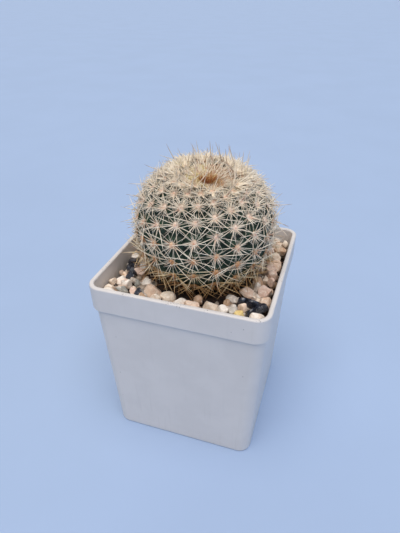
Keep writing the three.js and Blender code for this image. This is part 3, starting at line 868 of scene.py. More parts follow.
def rounded_steps(radius, steps=ROUNDING_STEPS):
    """A quarter round as steps of (inwards, forwards), from upright to level"""
    angles = [i / steps * math.pi / 2 for i in range(steps + 1)]
    points = [(radius * (1 - math.cos(a)), radius * math.sin(a)) for a in angles]
    return [(b[0] - a[0], b[1] - a[1]) for a, b in zip(points, points[1:])]


def model_pot():
    """Raises the pot from its foot: wall, collar and rim, then the inner wall down to the floor"""
    bm = bmesh.new()
    bmesh.ops.create_cube(bm, size=1)
    bmesh.ops.scale(bm, vec=(FOOT_WIDTH, FOOT_WIDTH, 1), verts=bm.verts)
    bmesh.ops.translate(bm, vec=(0, 0, FOOT_ROUNDING + 0.5), verts=bm.verts)
    bevel_edges(bm, upright_edges(bm), CORNER_RADIUS, CORNER_STEPS)
    bm.normal_update()
    top = max(bm.faces, key=lambda f: f.normal.z)
    bottom = min(bm.faces, key=lambda f: f.normal.z)
    for inwards, forwards in rounded_steps(FOOT_ROUNDING):
        inset_face(bm, bottom, inwards, forwards)
    inset_face(bm, bottom, FOOT_RING_WIDTH - FOOT_ROUNDING, 0)
    inset_face(bm, bottom, RECESS_EASE, -RECESS_EASE)
    inset_face(bm, bottom, RECESS_SLOPE, RECESS_EASE - FLOOR_BOTTOM)
    collar_bottom = POT_HEIGHT - COLLAR_HEIGHT
    top = raise_face(bm, top, collar_bottom - COLLAR_FILLET, WALL_TOP_WIDTH - 0.02)
    top = raise_face(bm, top, collar_bottom, WALL_TOP_WIDTH + 0.14)
    collar_start = collar_bottom + COLLAR_SLOPE
    top = raise_face(bm, top, collar_start, COLLAR_FOOT_WIDTH - 2 * COLLAR_ROUNDING)
    for step in range(1, COLLAR_STEPS + 1):
        angle = step / COLLAR_STEPS * math.pi / 2
        width = COLLAR_FOOT_WIDTH - 2 * COLLAR_ROUNDING * (1 - math.sin(angle))
        top = raise_face(bm, top, collar_start + COLLAR_ROUNDING * (1 - math.cos(angle)), width)
    top = raise_face(bm, top, POT_HEIGHT - RIM_ROUNDING, RIM_WIDTH)
    for inwards, forwards in rounded_steps(RIM_ROUNDING):
        inset_face(bm, top, inwards, forwards)
    inset_face(bm, top, RIM_THICKNESS - 2 * RIM_ROUNDING, 0)
    for inwards, forwards in reversed(rounded_steps(RIM_ROUNDING)):
        inset_face(bm, top, inwards, -forwards)
    inside = layer_of(bm, "inside")
    for level in (SOIL_TOP, FLOOR_TOP + FLOOR_ROUNDING):
        top = raise_face(bm, top, level, cavity_width(level))
        for vert in top.verts:
            vert[inside] = 1
    for inwards, forwards in reversed(rounded_steps(FLOOR_ROUNDING)):
        inset_face(bm, top, inwards, -forwards)
    bmesh.ops.recalc_face_normals(bm, faces=bm.faces)
    return bm


def model_drills():
    """Round cutters for the drain holes"""
    bm = bmesh.new()
    for x, y in DRAIN_PLACES:
        place = Matrix.Translation((x * DRAIN_SPACING, y * DRAIN_SPACING, 0))
        bmesh.ops.create_cone(
            bm, cap_ends=True, segments=DRAIN_SIDES, radius1=DRAIN_RADIUS, radius2=DRAIN_RADIUS,
            depth=3 * FLOOR_TOP, matrix=place,
        )
    return bm


def cut_away(piece, cutter_bm):
    """Cuts a shape, modelled in millimetres, out of a piece"""
    bmesh.ops.scale(cutter_bm, vec=(MM, MM, MM), verts=cutter_bm.verts)
    mesh = mesh_of(cutter_bm, "cutter")
    cutter = link_object("cutter", mesh)
    cut = piece.modifiers.new("cut", "BOOLEAN")
    cut.operation = "DIFFERENCE"
    cut.solver = "EXACT"
    cut.object = cutter
    made = piece.evaluated_get(bpy.context.evaluated_depsgraph_get())
    old = piece.data
    piece.data = bpy.data.meshes.new_from_object(made)
    piece.modifiers.clear()
    bpy.data.meshes.remove(old)
    bpy.data.objects.remove(cutter)
    bpy.data.meshes.remove(mesh)


def finish_edges(piece, sharp_angle):
    """Smooth shading that keeps sharp edges and flat walls, after a cut"""
    bm = bmesh.new()
    bm.from_mesh(piece.data)
    shade_smooth(bm, sharp_angle)
    bm.to_mesh(piece.data)
    bm.free()
    weighted = piece.modifiers.new("weighted_normals", "WEIGHTED_NORMAL")
    weighted.keep_sharp = True


# The fill


def soil_height(x, y):
    """The lie of the soil: banked up round the plant, more so where the plant leans away"""
    offset = Vector((x, y)) - FREE_CENTRE
    radius = offset.length
    along = offset.x * math.cos(LEAN_AZIMUTH) + offset.y * math.sin(LEAN_AZIMUTH)
    bank = smooth_share(radius, BANK_RADII[0], BANK_RADII[1]) * (1 - smooth_share(radius, *BANK_RADII[2:]))
    lifted = max(0, -along) * 0.1 * (1 - smooth_share(radius, *BANK_RADII[2:]))
    front = BED_SOIL * smooth_share(radius, *BANK_RADII[2:]) * (1 - smooth_share(radius, *SOIL_EDGE_RADII))
    lumps = noise.fractal(Vector((x, y, 3)) / SOIL_LUMP_SIZE, 0.7, 2.1, 4)
    return SOIL_TOP + (BANK_TOP - SOIL_TOP) * bank + lifted + front + SOIL_LUMP_HEIGHT * lumps - 0.1


def stone_at(row, draw):
    """A stone of the list as the solid one lies: its middle, half sizes, turn and seed"""
    x, y, length, width, degrees = row[:5]
    level = STONE_LEVEL + STONE_SLOPES.dot((x, y)) + STONE_LEVEL_SPREAD * (2 * draw() - 1)
    height = min(length, width) * (0.42 + 0.12 * draw())
    limit = cavity_width(BED_TOP) / 2 - GAP
    turn = math.radians(degrees)
    half_height = max(height, (level - BED_TOP + STONE_SUNK) / 2)
    seed = math.floor(draw() * 1e6)
    reach_x = math.hypot(length / 2 * math.cos(turn), width / 2 * math.sin(turn))
    reach_y = math.hypot(length / 2 * math.sin(turn), width / 2 * math.cos(turn))
    middle = Vector((
        min(max(x, reach_x - limit), limit - reach_x),
        min(max(y, reach_y - limit), limit - reach_y),
        level - half_height,
    ))
    half = Vector((length / 2, width / 2, half_height))
    tone = TONES[row[5]] if len(row) > 5 else None
    return {"middle": middle, "half": half, "turn": turn, "seed": seed, "tone": tone}


def scatter_stones(placed, draw):
    """The other stones of the ring round the plant, as the solid ones were scattered"""
    half = cavity_width(BED_TOP) / 2
    scattered = []
    for i in range(STONE_TRIES):
        x = (2 * draw() - 1) * half
        y = (2 * draw() - 1) * half
        length = mix(i / STONE_TRIES, *STONE_LENGTHS)
        width = length * (0.7 + 0.25 * draw())
        degrees = draw() * 180
        inner = STONE_KEEP_OUT + width / 2
        near_plant = math.hypot(x - FREE_CENTRE.x, y - FREE_CENTRE.y) < inner
        near_wall = max(abs(x), abs(y)) > half - width / 2
        size = (length + width) / 4
        if near_plant or near_wall:
            continue
        crowded = any(
            math.hypot(x - s["middle"].x, y - s["middle"].y)
            < STONE_OVERLAP * (size + (s["half"].x + s["half"].y) / 2)
            for s in placed + scattered
        )
        if not crowded:
            scattered.append(stone_at((x, y, length, width, degrees), draw))
    return scattered


def lay_stones():
    """All the stones: the pale ones, and the dark ones by their place"""
    draw = seeded_random(7)
    pale = [stone_at(row, draw) for row in PALE_STONES]
    dark = {place: [stone_at(row, draw) for row in rows] for place, rows in DARK_STONES.items()}
    all_dark = [stone for stones in dark.values() for stone in stones]
    pale += scatter_stones(pale + all_dark, draw)
    return pale, dark


def add_stone(bm, stone, facets, edge, worn, fill):
    """Adds a stone: a ball with flats ground on it and worn edges, scaled and turned as the solid one"""
    rng = random.Random(stone["seed"])
    start = len(bm.verts)
    bmesh.ops.create_icosphere(bm, subdivisions=STONE_DETAIL, radius=1)
    verts = new_verts(bm, start)
    flats = [(random_direction(rng), rng.uniform(*edge)) for _ in range(facets)]
    for vert in verts:
        for direction, reach in flats:
            over = vert.co.dot(direction) - reach
            if over > 0:
                vert.co -= direction * over
    ease_points(bm, verts, worn)
    roughen(verts, 0.75, 0.09 * worn, stone["seed"] % 97)
    roughen(verts, 0.22, 0.05 * worn, stone["seed"] % 89)
    size = Vector([max(abs(v.co[axis]) for v in verts) for axis in range(3)])
    half = stone["half"]
    low = layer_of(bm, "low")
    tone = layer_of(bm, "tone")
    verts = new_verts(bm, start)
    named = TONES[rng.choice(COMMON_TONES)] if stone["tone"] is None else stone["tone"]
    own_tone = min(1, max(0, named + rng.uniform(-TONE_SPREAD, TONE_SPREAD)))
    # How far down the stone each point lies, which sets the painted shade on its lower side
    for vert in verts:
        vert[low] = share_of(-vert.co.z, -0.2, 0.9)
        vert[tone] = own_tone
    bmesh.ops.scale(bm, vec=[fill * half[i] / size[i] for i in range(3)], verts=verts)
    bmesh.ops.rotate(bm, matrix=Matrix.Rotation(stone["turn"], 3, "Z"), verts=verts)
    bmesh.ops.translate(bm, vec=stone["middle"], verts=verts)


def model_soil():
    """A block of soil with a rough top"""
    bm = bmesh.new()
    half = cavity_width(SOIL_TOP) / 2 - GAP
    corner = CORNER_RADIUS - RIM_THICKNESS
    bmesh.ops.create_grid(bm, x_segments=SOIL_STEPS, y_segments=SOIL_STEPS, size=half)
    for vert in bm.verts:
        x, y = vert.co.x, vert.co.y
        past = Vector((max(0, abs(x) - half + corner), max(0, abs(y) - half + corner)))
        if past.length > corner:
            past *= corner / past.length
            x = math.copysign(half - corner + past.x, x)
            y = math.copysign(half - corner + past.y, y)
        vert.co = Vector((x, y, soil_height(x, y)))
    rim = [e for e in bm.edges if e.is_boundary]
    skirt = bmesh.ops.extrude_edge_only(bm, edges=rim)["geom"]
    lower = [v for v in skirt if isinstance(v, bmesh.types.BMVert)]
    ratio = (cavity_width(FLOOR_TOP) / 2 - GAP) / half
    for vert in lower:
        vert.co = Vector((vert.co.x * ratio, vert.co.y * ratio, FLOOR_TOP))
    edges = [e for e in skirt if isinstance(e, bmesh.types.BMEdge)]
    bmesh.ops.contextual_create(bm, geom=edges)
    bmesh.ops.recalc_face_normals(bm, faces=bm.faces)
    shade_smooth(bm, SHARP_ANGLE)
    return bm


def spot_on_soil(rng, ring):
    """A random place on the soil, in a ring round the plant"""
    turn = rng.uniform(0, math.tau)
    radius = rng.uniform(*ring)
    x = FREE_CENTRE.x + radius * math.cos(turn)
    y = FREE_CENTRE.y + radius * math.sin(turn)
    return x, y, soil_height(x, y)


def model_crumbs(settings):
    """Crumbs of peat and bark, and thin dead fibres, lying on the soil round the plant"""
    rng = random.Random(31)
    bm = bmesh.new()
    chunks = [chunk_mesh(f"crumb_{i}", 40 + i) for i in range(4)]
    fibre = needle_mesh("fibre", 0.03, 0.25, sides=4)
    for _ in range(settings.crumbs):
        x, y, z = spot_on_soil(rng, CRUMB_RING)
        size = 0.35 + 1.3 * rng.random() ** 3
        place = Matrix.Translation((x, y, z + 0.1 * size)) @ turned_scale(rng, size, 0.7)
        add_copy(bm, rng.choice(chunks), place)
    for _ in range(FIBRES):
        x, y, z = spot_on_soil(rng, FIBRE_RING)
        heading = rng.uniform(0, math.tau)
        direction = Vector((math.cos(heading), math.sin(heading), rng.uniform(-0.02, 0.12)))
        root = Vector((x, y, z + 0.15))
        add_copy(bm, fibre, aim(root, direction, -UPRIGHT, rng.uniform(*FIBRE_LENGTHS)))
    drop_meshes([*chunks, fibre])
    return bm


def model_grit(settings):
    """Small angular stones heaped in the gaps between the large ones"""
    rng = random.Random(33)
    bm = bmesh.new()
    tone = layer_of(bm, "tone")
    low = layer_of(bm, "low")
    chunks = [chunk_mesh(f"grit_{i}", 50 + i) for i in range(5)]
    half = cavity_width(BED_TOP) / 2
    placed = 0
    while placed < settings.grit:
        x, y = rng.uniform(-half, half), rng.uniform(-half, half)
        size = settings.grit_size / MM * rng.uniform(0.5, 1.2)
        radius = (Vector((x, y)) - FREE_CENTRE).length
        if radius < BED_INNER_RADIUS + 1.2 * rng.random() or max(abs(x), abs(y)) > half - 0.9 * size:
            continue
        z = rng.uniform(SOIL_TOP + 0.3, BED_TOP + 0.2)
        place = Matrix.Translation((x, y, z)) @ turned_scale(rng, size)
        named = TONES[rng.choice(COMMON_TONES)]
        # Each piece of grit gets a share of painted shade, as it lies down in the gaps
        add_copy(bm, rng.choice(chunks), place, ((tone, named), (low, rng.uniform(0.45, 1))))
        placed += 1
    drop_meshes(chunks)
    return bm


# The plant


def plant_matrix():
    axis = Vector((-math.sin(LEAN_AZIMUTH), math.cos(LEAN_AZIMUTH), 0))
    return Matrix.Translation(PLANT_CENTRE) @ Quaternion(axis, LEAN).to_matrix().to_4x4()


PLANT = plant_matrix()


def globe_point(angle):
    """The surface that the areoles lie on, at an angle from the tip: distance from the axis, height"""
    across = math.sin(angle)
    along = math.cos(angle)
    n = GLOBE_SQUARENESS
    half = GLOBE_HEIGHT if along > 0 else GLOBE_DEPTH
    total = (across / GLOBE_RADIUS) ** n + (abs(along) / half) ** n
    reach = total ** (-1 / n)
    r = reach * across
    dent = DENT_DEPTH * math.exp(-((r / DENT_RADIUS) ** 2)) if along > 0 else 0
    return r, reach * along - dent


def areole_cell(s):
    """The area that one areole has to itself, at a distance from the tip along the skin"""
    i = next(k for k, (end, _) in enumerate(AREOLE_CELLS) if end > s)
    (s0, a0), (s1, a1) = AREOLE_CELLS[i - 1], AREOLE_CELLS[i]
    return along_line(s, s0, s1, a0, a1)


def direction_at(angle, turn):
    across = math.sin(angle)
    return Vector((across * math.cos(turn), across * math.sin(turn), math.cos(angle)))


def place_areoles():
    """Every areole on its spiral, from the tip down, as on the solid stem"""
    areoles = []
    steps = 3000
    count = 0.5
    s = 0
    r0, z0 = globe_point(0)
    for i in range(1, steps):
        angle = i / steps * math.pi
        r, z = globe_point(angle)
        ds = math.hypot(r - r0, z - z0)
        cell = areole_cell(s)
        s += ds
        count += 2 * math.pi * r * ds / cell
        if z < LOWEST_AREOLE:
            break
        if count >= len(areoles) + 1:
            turn = AREOLE_PHASE - len(areoles) * DIVERGENCE
            out = direction_at(math.pi / 2, turn)
            side = Vector((-math.sin(turn), math.cos(turn), 0))
            up = Vector((out.x * (r0 - r) / ds, out.y * (r0 - r) / ds, (z0 - z) / ds))
            normal = side.cross(up).normalized()
            point = Vector((out.x * r, out.y * r, z))
            spacing = math.sqrt(cell / HONEYCOMB)
            areoles.append(
                {"point": point, "side": side, "up": up, "normal": normal, "s": s, "spacing": spacing}
            )
        r0, z0 = r, z
    return areoles


def age_of(areole):
    """How old an areole looks: youngest in the crown, and 1 at the base"""
    young = mix(share_of(areole["s"], *CROWN_EDGE), *CROWN_AGES)
    return young + AGED_BY * share_of(areole["point"].z, *AGED_HEIGHTS)


def areoles_between(low, high):
    """The areoles from one distance from the tip to another"""
    return [areole for areole in place_areoles() if low <= areole["s"] < high]


def areole_tree(areoles):
    tree = KDTree(len(areoles))
    for i, areole in enumerate(areoles):
        tree.insert(areole["point"], i)
    tree.balance()
    return tree


def model_flesh(areoles):
    """The stem's skin: a globe that sinks between the areoles into furrows"""
    bm = bmesh.new()
    bmesh.ops.create_icosphere(bm, subdivisions=FLESH_DETAIL, radius=1)
    furrow = layer_of(bm, "furrow")
    base = layer_of(bm, "base")
    tree = areole_tree(areoles)
    for vert in bm.verts:
        direction = vert.co.normalized()
        r, z = globe_point(math.acos(max(-1, min(1, direction.z))))
        turn = math.atan2(direction.y, direction.x)
        skin = Vector((r * math.cos(turn), r * math.sin(turn), z))
        (_, nearest, apart), (_, second, further) = tree.find_n(skin, 2)
        spacing = areoles[nearest]["spacing"]
        share = min(1, apart / (spacing * HOLLOW_REACH))
        edge = min(1, (further - apart) / (FURROW_WIDTH * spacing))
        depth = spacing * HOLLOW_DEPTH * (0.82 * share**2 + 0.3 * share * (1 - edge) ** 2)
        swell = SWELL_HEIGHT * noise.noise(skin / SWELL_SIZE)
        vert.co = skin - direction * (depth - swell * share)
        # How deep in a furrow a point lies, for the painted shade in the furrows and the painted highlight on
        # the humps
        vert[furrow] = share * (0.55 + 0.45 * (1 - edge) ** 2)
        vert[base] = smooth_share(z, *CORK_HEIGHTS)
    ease_points(bm, bm.verts, 0.5)
    shade_smooth(bm)
    return bm


def model_root(margin=0.0, sides=ROOT_SIDES):
    """The neck and root, spun from its profile and grown all round by a margin"""
    bm = bmesh.new()
    grown = [(r + margin, z) for r, z in ROOT_PROFILE]
    profile = [(0, ROOT_TOP), (grown[0][0], ROOT_TOP), *grown[1:], (0, ROOT_TIP - margin)]
    line = [bm.verts.new((r, 0, z)) for r, z in profile]
    edges = [bm.edges.new(pair) for pair in zip(line, line[1:])]
    bmesh.ops.spin(
        bm, geom=line + edges, cent=(0, 0, 0), axis=(0, 0, 1), angle=math.tau, steps=sides, use_merge=True
    )
    bmesh.ops.remove_doubles(bm, verts=bm.verts, dist=0.01)
    bmesh.ops.recalc_face_normals(bm, faces=bm.faces)
    return bm


def is_blocked(point, stones):
    """True if a point of a spine would be in the wall, the soil or a stone, or past the rim's width"""
    low = point.z < POT_HEIGHT + SPINE_HEADROOM
    width = cavity_width(point.z) if low else RIM_WIDTH
    if max(abs(point.x), abs(point.y)) > (width - SPINE_HEADROOM) / 2:
        return True
    if point.z > POT_HEIGHT:
        return False
    if point.z < soil_height(point.x, point.y) + 0.2:
        return True
    for stone in stones:
        offset = point - stone["middle"]
        cos, sin = math.cos(stone["turn"]), math.sin(stone["turn"])
        u = (offset.x * cos + offset.y * sin) / (stone["half"].x + STONE_HEADROOM)
        v = (offset.y * cos - offset.x * sin) / (stone["half"].y + STONE_HEADROOM)
        w = offset.z / (stone["half"].z + STONE_HEADROOM)
        if u * u + v * v + w * w < 1:
            return True
    return False


def clear_length(root, direction, wanted, stones):
    """How long a spine from a root in a direction may be, up to the length that it wants"""
    start = PLANT @ root
    way = PLANT.to_3x3() @ direction
    near = [s for s in stones if (s["middle"] - start).length < wanted + s["half"].length]
    length = 1.0
    while length < wanted and not is_blocked(start + way * length, near):
        length += SPINE_STEP
    return wanted if length >= wanted else length - SPINE_STEP


def freest(root, spread, normal, rise, wanted, stones):
    """The way for a spine, lifted off the skin until it has room, and its length"""
    best = (None, 0)
    for lift in SPINE_LIFTS:
        direction = (spread + normal * (rise + lift)).normalized()
        length = clear_length(root, direction, wanted, stones)
        if length > best[1]:
            best = (direction, length)
        if length >= wanted * 0.9:
            break
    return best


class SpineMarks:
    """The named values that every point of a spine carries"""

    def __init__(self, bm):
        layer_of(bm, "along")
        self.age = layer_of(bm, "age")
        self.tint = layer_of(bm, "tint")
        self.strong = layer_of(bm, "strong")

    def values(self, age, tint, strong):
        return ((self.age, min(1, max(0, age))), (self.tint, tint), (self.strong, strong))


def spread_of(areole, turn):
    """A direction along the skin from an areole: sideways at no turn, upwards at a quarter turn"""
    return areole["side"] * math.cos(turn) + areole["up"] * math.sin(turn)


def youth_of(areole):
    """1 for areoles at the crown's edge, whose spines stand up, and 0 for those further down"""
    return smooth_share(areole["s"], *YOUNG_ZONE)


def bared_share(turn, youth):
    """Shortens the spines of a young areole that point up over the crown, so that its heart shows"""
    return 1 - BARED * youth * max(0, math.sin(turn))


def model_radials(areoles, stones, settings):
    """The ring of fine spines on each areole, combed out over the skin"""
    rng = random.Random(21)
    bm = bmesh.new()
    marks = SpineMarks(bm)
    needles = needle_set("radial", **RADIAL_NEEDLES)
    for areole in areoles:
        age = age_of(areole)
        youth = youth_of(areole)
        droop = share_of(age, *RADIAL_OLD_AGES)
        count = settings.radial_spines + rng.randint(-1, 1) + round(RADIAL_EXTRA * youth)
        first = rng.uniform(0, math.tau)
        for i in range(count):
            turn = first + (i + rng.uniform(-0.25, 0.25)) / count * math.tau
            spread = spread_of(areole, turn)
            root = areole["point"] + spread * rng.uniform(0.3, 0.7) - areole["normal"] * 0.25
            rise = mix(youth, rng.uniform(0.06, 0.4), rng.uniform(0.15, 0.8)) + droop * rng.uniform(0, 0.5)
            sideways = math.cos(turn) ** 2
            reach = settings.radial_length / MM * mix(youth, 1, 0.75) * mix(sideways, 0.74, 1.2)
            wanted = reach * rng.uniform(0.7, 1.15) * bared_share(turn, youth)
            heading = spread - areole["up"] * (0.55 * droop * rng.random() + 0.45 * youth)
            direction, length = freest(root, heading, areole["normal"], rise, wanted, stones)
            if length < RADIAL_SHORTEST:
                continue
            values = marks.values(age + rng.uniform(-0.06, 0.08), rng.random(), 0)
            add_copy(bm, rng.choice(needles), aim(root, direction, areole["normal"], length), values)
    drop_meshes(needles)
    return bm


def model_stars(areoles, stones, settings):
    """The short bright spines that stand close together round the middle of each areole"""
    rng = random.Random(25)
    bm = bmesh.new()
    marks = SpineMarks(bm)
    needles = needle_set("star", **STAR_NEEDLES)
    for areole in areoles:
        age = age_of(areole)
        youth = youth_of(areole)
        old = share_of(age, *STAR_OLD_AGES)
        tufted = smooth_share(areole["s"], *TUFTED_ZONE)
        fluffy = smooth_share(areole["point"].z, *FLUFFY_HEIGHTS)
        count = settings.star_spines + round(TUFT_EXTRA * tufted + FLUFF_EXTRA * fluffy)
        for i in range(count):
            turn = (i + rng.uniform(-0.4, 0.4)) / count * math.tau
            spread = spread_of(areole, turn)
            root = areole["point"] + spread * rng.uniform(0.25, 0.75) - areole["normal"] * 0.1
            rise = rng.uniform(0.25, 1.2) + 0.3 * youth
            wanted = settings.star_length / MM * rng.uniform(0.7, 1.2) * mix(old, 1.05, 0.75)
            wanted *= mix(tufted, 1, 1.65) * mix(fluffy, 0.95, 1.12) * bared_share(turn, tufted)
            heading = spread - areole["up"] * 0.8 * tufted
            direction, length = freest(root, heading, areole["normal"], rise, wanted, stones)
            if length < STAR_SHORTEST or rng.random() < 0.5 * old:
                continue
            values = marks.values(age + rng.uniform(-0.05, 0.05), rng.random() * 0.5, 0)
            add_copy(bm, rng.choice(needles), aim(root, direction, areole["normal"], length), values)
    drop_meshes(needles)
    return bm


def model_centrals(areoles, stones, settings):
    """The long stout spines: up and outwards near the crown, drooping near the base"""
    rng = random.Random(22)
    bm = bmesh.new()
    marks = SpineMarks(bm)
    needles = needle_set("central", **CENTRAL_NEEDLES)
    for areole in areoles:
        age = age_of(areole)
        youth = youth_of(areole)
        old = share_of(age, *CENTRAL_OLD_AGES)
        extra = 1 if rng.random() < mix(youth, 0.45, 0.85) else 0
        count = settings.central_spines + extra + round(CENTRAL_EXTRA * old)
        for i in range(count):
            first = mix(youth, -math.pi / 2, math.pi / 2)
            turn = CENTRAL_TURNS[i % len(CENTRAL_TURNS)] if i else first
            turn += rng.uniform(-0.6, 0.6)
            spread = spread_of(areole, turn)
            root = areole["point"] + spread * 0.25 - areole["normal"] * 0.3
            rise = mix(old, rng.uniform(0.7, 2.4), rng.uniform(0.25, 0.9))
            reach = settings.central_length / MM * mix(max(youth, old), 0.8, 1.0)
            wanted = reach * rng.uniform(0.6, 1.05)
            heading = spread - areole["up"] * 0.6 * old
            direction, length = freest(root, heading, areole["normal"], rise, wanted, stones)
            if length < CENTRAL_SHORTEST:
                continue
            values = marks.values(age + rng.uniform(-0.05, 0.12) * old, rng.random(), rng.uniform(0.45, 1))
            add_copy(bm, rng.choice(needles), aim(root, direction, areole["normal"], length), values)
    drop_meshes(needles)
    return bm


def felt_mesh(name):
    """A low cushion of felt, one unit across its long way, marked from its rim to its middle"""
    bm = bmesh.new()
    bmesh.ops.create_icosphere(bm, subdivisions=2, radius=0.5)
    bmesh.ops.scale(bm, vec=(0.82, 1, 0.5), verts=bm.verts)
    along = layer_of(bm, "along")
    for vert in bm.verts:
        vert[along] = 1 - min(1, 2 * math.hypot(vert.co.x, vert.co.y))
    roughen(bm.verts, 0.3, 0.05, 3)
    shade_smooth(bm)
    return mesh_of(bm, name)


def model_felts(areoles):
    """A cushion of felt on each areole, with short lint standing out of it"""
    rng = random.Random(23)
    bm = bmesh.new()
    marks = SpineMarks(bm)
    cushion = felt_mesh("felt")
    lint = needle_mesh("lint", 0.09, 0.2, cuts=1, sides=3)
    for areole in areoles:
        age = age_of(areole)
        size = mix(share_of(areole["s"], *FELT_ZONE), *FELT_SIZES) * rng.uniform(0.9, 1.12)
        turn = Matrix((areole["side"], areole["up"], areole["normal"])).transposed().to_4x4()
        place = Matrix.Translation(areole["point"] - areole["normal"] * 0.06) @ turn @ Matrix.Scale(size, 4)
        values = marks.values(age, rng.random(), 0)
        add_copy(bm, cushion, place, values)
        for _ in range(LINT_HAIRS):
            spread = spread_of(areole, rng.uniform(0, math.tau))
            root = areole["point"] + spread * size * rng.uniform(0.1, 0.42)
            direction = spread * rng.uniform(0.2, 1.1) + areole["normal"]
            add_copy(bm, lint, aim(root, direction, spread, rng.uniform(0.5, 1)), values)
    drop_meshes([cushion, lint])
    return bm


# The crown


def skin_height(radius):
    """The height of the skin in the dent of the tip, at a distance from the axis"""
    n = GLOBE_SQUARENESS
    globe = GLOBE_HEIGHT * (1 - (radius / GLOBE_RADIUS) ** n) ** (1 / n)
    return globe - DENT_DEPTH * math.exp(-((radius / DENT_RADIUS) ** 2))


def wool_height(radius):
    """The top of the wool, which lines the dent of the tip"""
    dome = math.sqrt(max(0, 1 - (radius / WOOL_RADIUS) ** 2))
    return skin_height(radius) + dome * WOOL_HALF_HEIGHT


def heart_share(place):
    """1 at the growing tip's brown heart, falling to 0 round it"""
    offset = place - HEART_CENTRE
    return smooth_share(math.hypot(offset.x, offset.y), 2 * HEART_RADIUS, 0.6 * HEART_RADIUS)


def straw_share(place):
    """How straw yellow the crown is at a place: yellow on its left, tan on its right"""
    return smooth_share((place - HEART_CENTRE).dot(STRAW_SIDE), *STRAW_SPREAD)


def model_wool():
    """The cushion of wool in the dent of the tip, lumpy, with lint standing out of it"""
    rng = random.Random(26)
    bm = bmesh.new()
    heart = layer_of(bm, "heart")
    straw = layer_of(bm, "straw")
    bmesh.ops.create_icosphere(bm, subdivisions=WOOL_DETAIL, radius=1)
    for vert in bm.verts:
        lumps = noise.fractal(vert.co * 3.2, 0.8, 2.2, 4)
        vert.co *= 1 + 0.06 * lumps
        place = Vector((vert.co.x * WOOL_RADIUS, vert.co.y * WOOL_RADIUS, 0))
        vert[heart] = heart_share(place)
        vert[straw] = straw_share(place)
        level = skin_height(min(place.length, WOOL_RADIUS)) + vert.co.z * WOOL_HALF_HEIGHT
        vert.co = place + Vector((0, 0, level - HEART_SUNK * vert[heart]))
    shade_smooth(bm)
    layer_of(bm, "along")
    lint = needle_mesh("wool_lint", 0.1, 0.3, cuts=1, sides=3)
    for _ in range(WOOL_HAIRS):
        radius = WOOL_RADIUS * 0.97 * math.sqrt(rng.random())
        place = direction_at(math.pi / 2, rng.uniform(0, math.tau)) * radius
        values = ((heart, heart_share(place)), (straw, straw_share(place)))
        root = place + Vector((0, 0, wool_height(radius) - 0.25 - HEART_SUNK * heart_share(place)))
        direction = UPRIGHT + place / WOOL_RADIUS + random_direction(rng) * 0.7
        matrix = aim(root, direction, random_direction(rng), rng.uniform(0.7, 1.3))
        add_copy(bm, lint, matrix, values)
    drop_meshes([lint])
    return bm


def model_crown_spines(areoles):
    """Young spines: brown bristles on the heart, then tufts combed outwards, straw, tan and cream"""
    rng = random.Random(24)
    bm = bmesh.new()
    marks = SpineMarks(bm)
    needles = needle_set("young", **YOUNG_NEEDLES)
    long_needles = needle_set("young_long", **YOUNG_LONG_NEEDLES)
    for k in range(HEART_BRISTLES):
        open_share = math.sqrt((k + 0.5) / HEART_BRISTLES)
        offset = direction_at(math.pi / 2, k * SPIRAL_TURN) * HEART_RADIUS * open_share
        place = HEART_CENTRE + offset
        root = place + UPRIGHT * (wool_height(place.length) - 0.7)
        direction = UPRIGHT + offset * 0.3 + random_direction(rng) * 0.25
        values = marks.values(rng.uniform(0, 0.045), rng.random(), 0)
        needle = rng.choice(needles)
        add_copy(bm, needle, aim(root, direction, UPRIGHT, rng.uniform(*HEART_LENGTHS)), values)
    for areole in areoles:
        point = areole["point"].copy()
        radius = math.hypot(point.x, point.y)
        point.z = max(point.z, wool_height(radius) - 0.2)
        place = Vector((point.x, point.y, 0))
        outward = (place - HEART_CENTRE).normalized()
        edge = smooth_share((place - TUFT_CENTRE).length, *TUFT_EDGE)
        age = mix(edge, mix(straw_share(point), 0.06, 0.105), rng.uniform(0.2, 0.4))
        count = round(mix(edge, *TUFT_COUNTS))
        for k in range(count):
            around = direction_at(math.pi / 2, k * SPIRAL_TURN + rng.uniform(-0.3, 0.3))
            open_share = math.sqrt((k + 0.5) / count)
            root = point + around * rng.uniform(0.1, 0.7)
            combed = outward * mix(edge, 1.25, 0.9) + around * open_share * 0.7
            direction = UPRIGHT * mix(edge, rng.uniform(0.5, 1.1), rng.uniform(0.1, 0.7)) + combed
            length = mix(edge, *TUFT_LENGTHS) * rng.uniform(0.6, 1.2)
            values = marks.values(age + rng.uniform(-0.03, 0.04), rng.random() * 0.7, 0)
            add_copy(bm, rng.choice(needles), aim(root, direction, UPRIGHT, length), values)
        if edge < 0.5 or rng.random() < 0.4:
            continue
        direction = UPRIGHT + outward * rng.uniform(0, 0.6) + random_direction(rng) * 0.3
        values = marks.values(mix(0.5, age, CROWN_AGES[1]), rng.random(), rng.uniform(0.4, 1))
        matrix = aim(point, direction, UPRIGHT, rng.uniform(*YOUNG_LONG_LENGTHS))
        add_copy(bm, rng.choice(long_needles), matrix, values)
    drop_meshes([*needles, *long_needles])
    return bm


# The stage


def lay_floor(settings):
    bm = bmesh.new()
    bmesh.ops.create_grid(bm, x_segments=8, y_segments=8, size=FLOOR_HALF)
    mesh = mesh_of(bm, "floor")
    mesh.materials.append(floor_finish(settings))
    floor = link_object("floor", mesh)


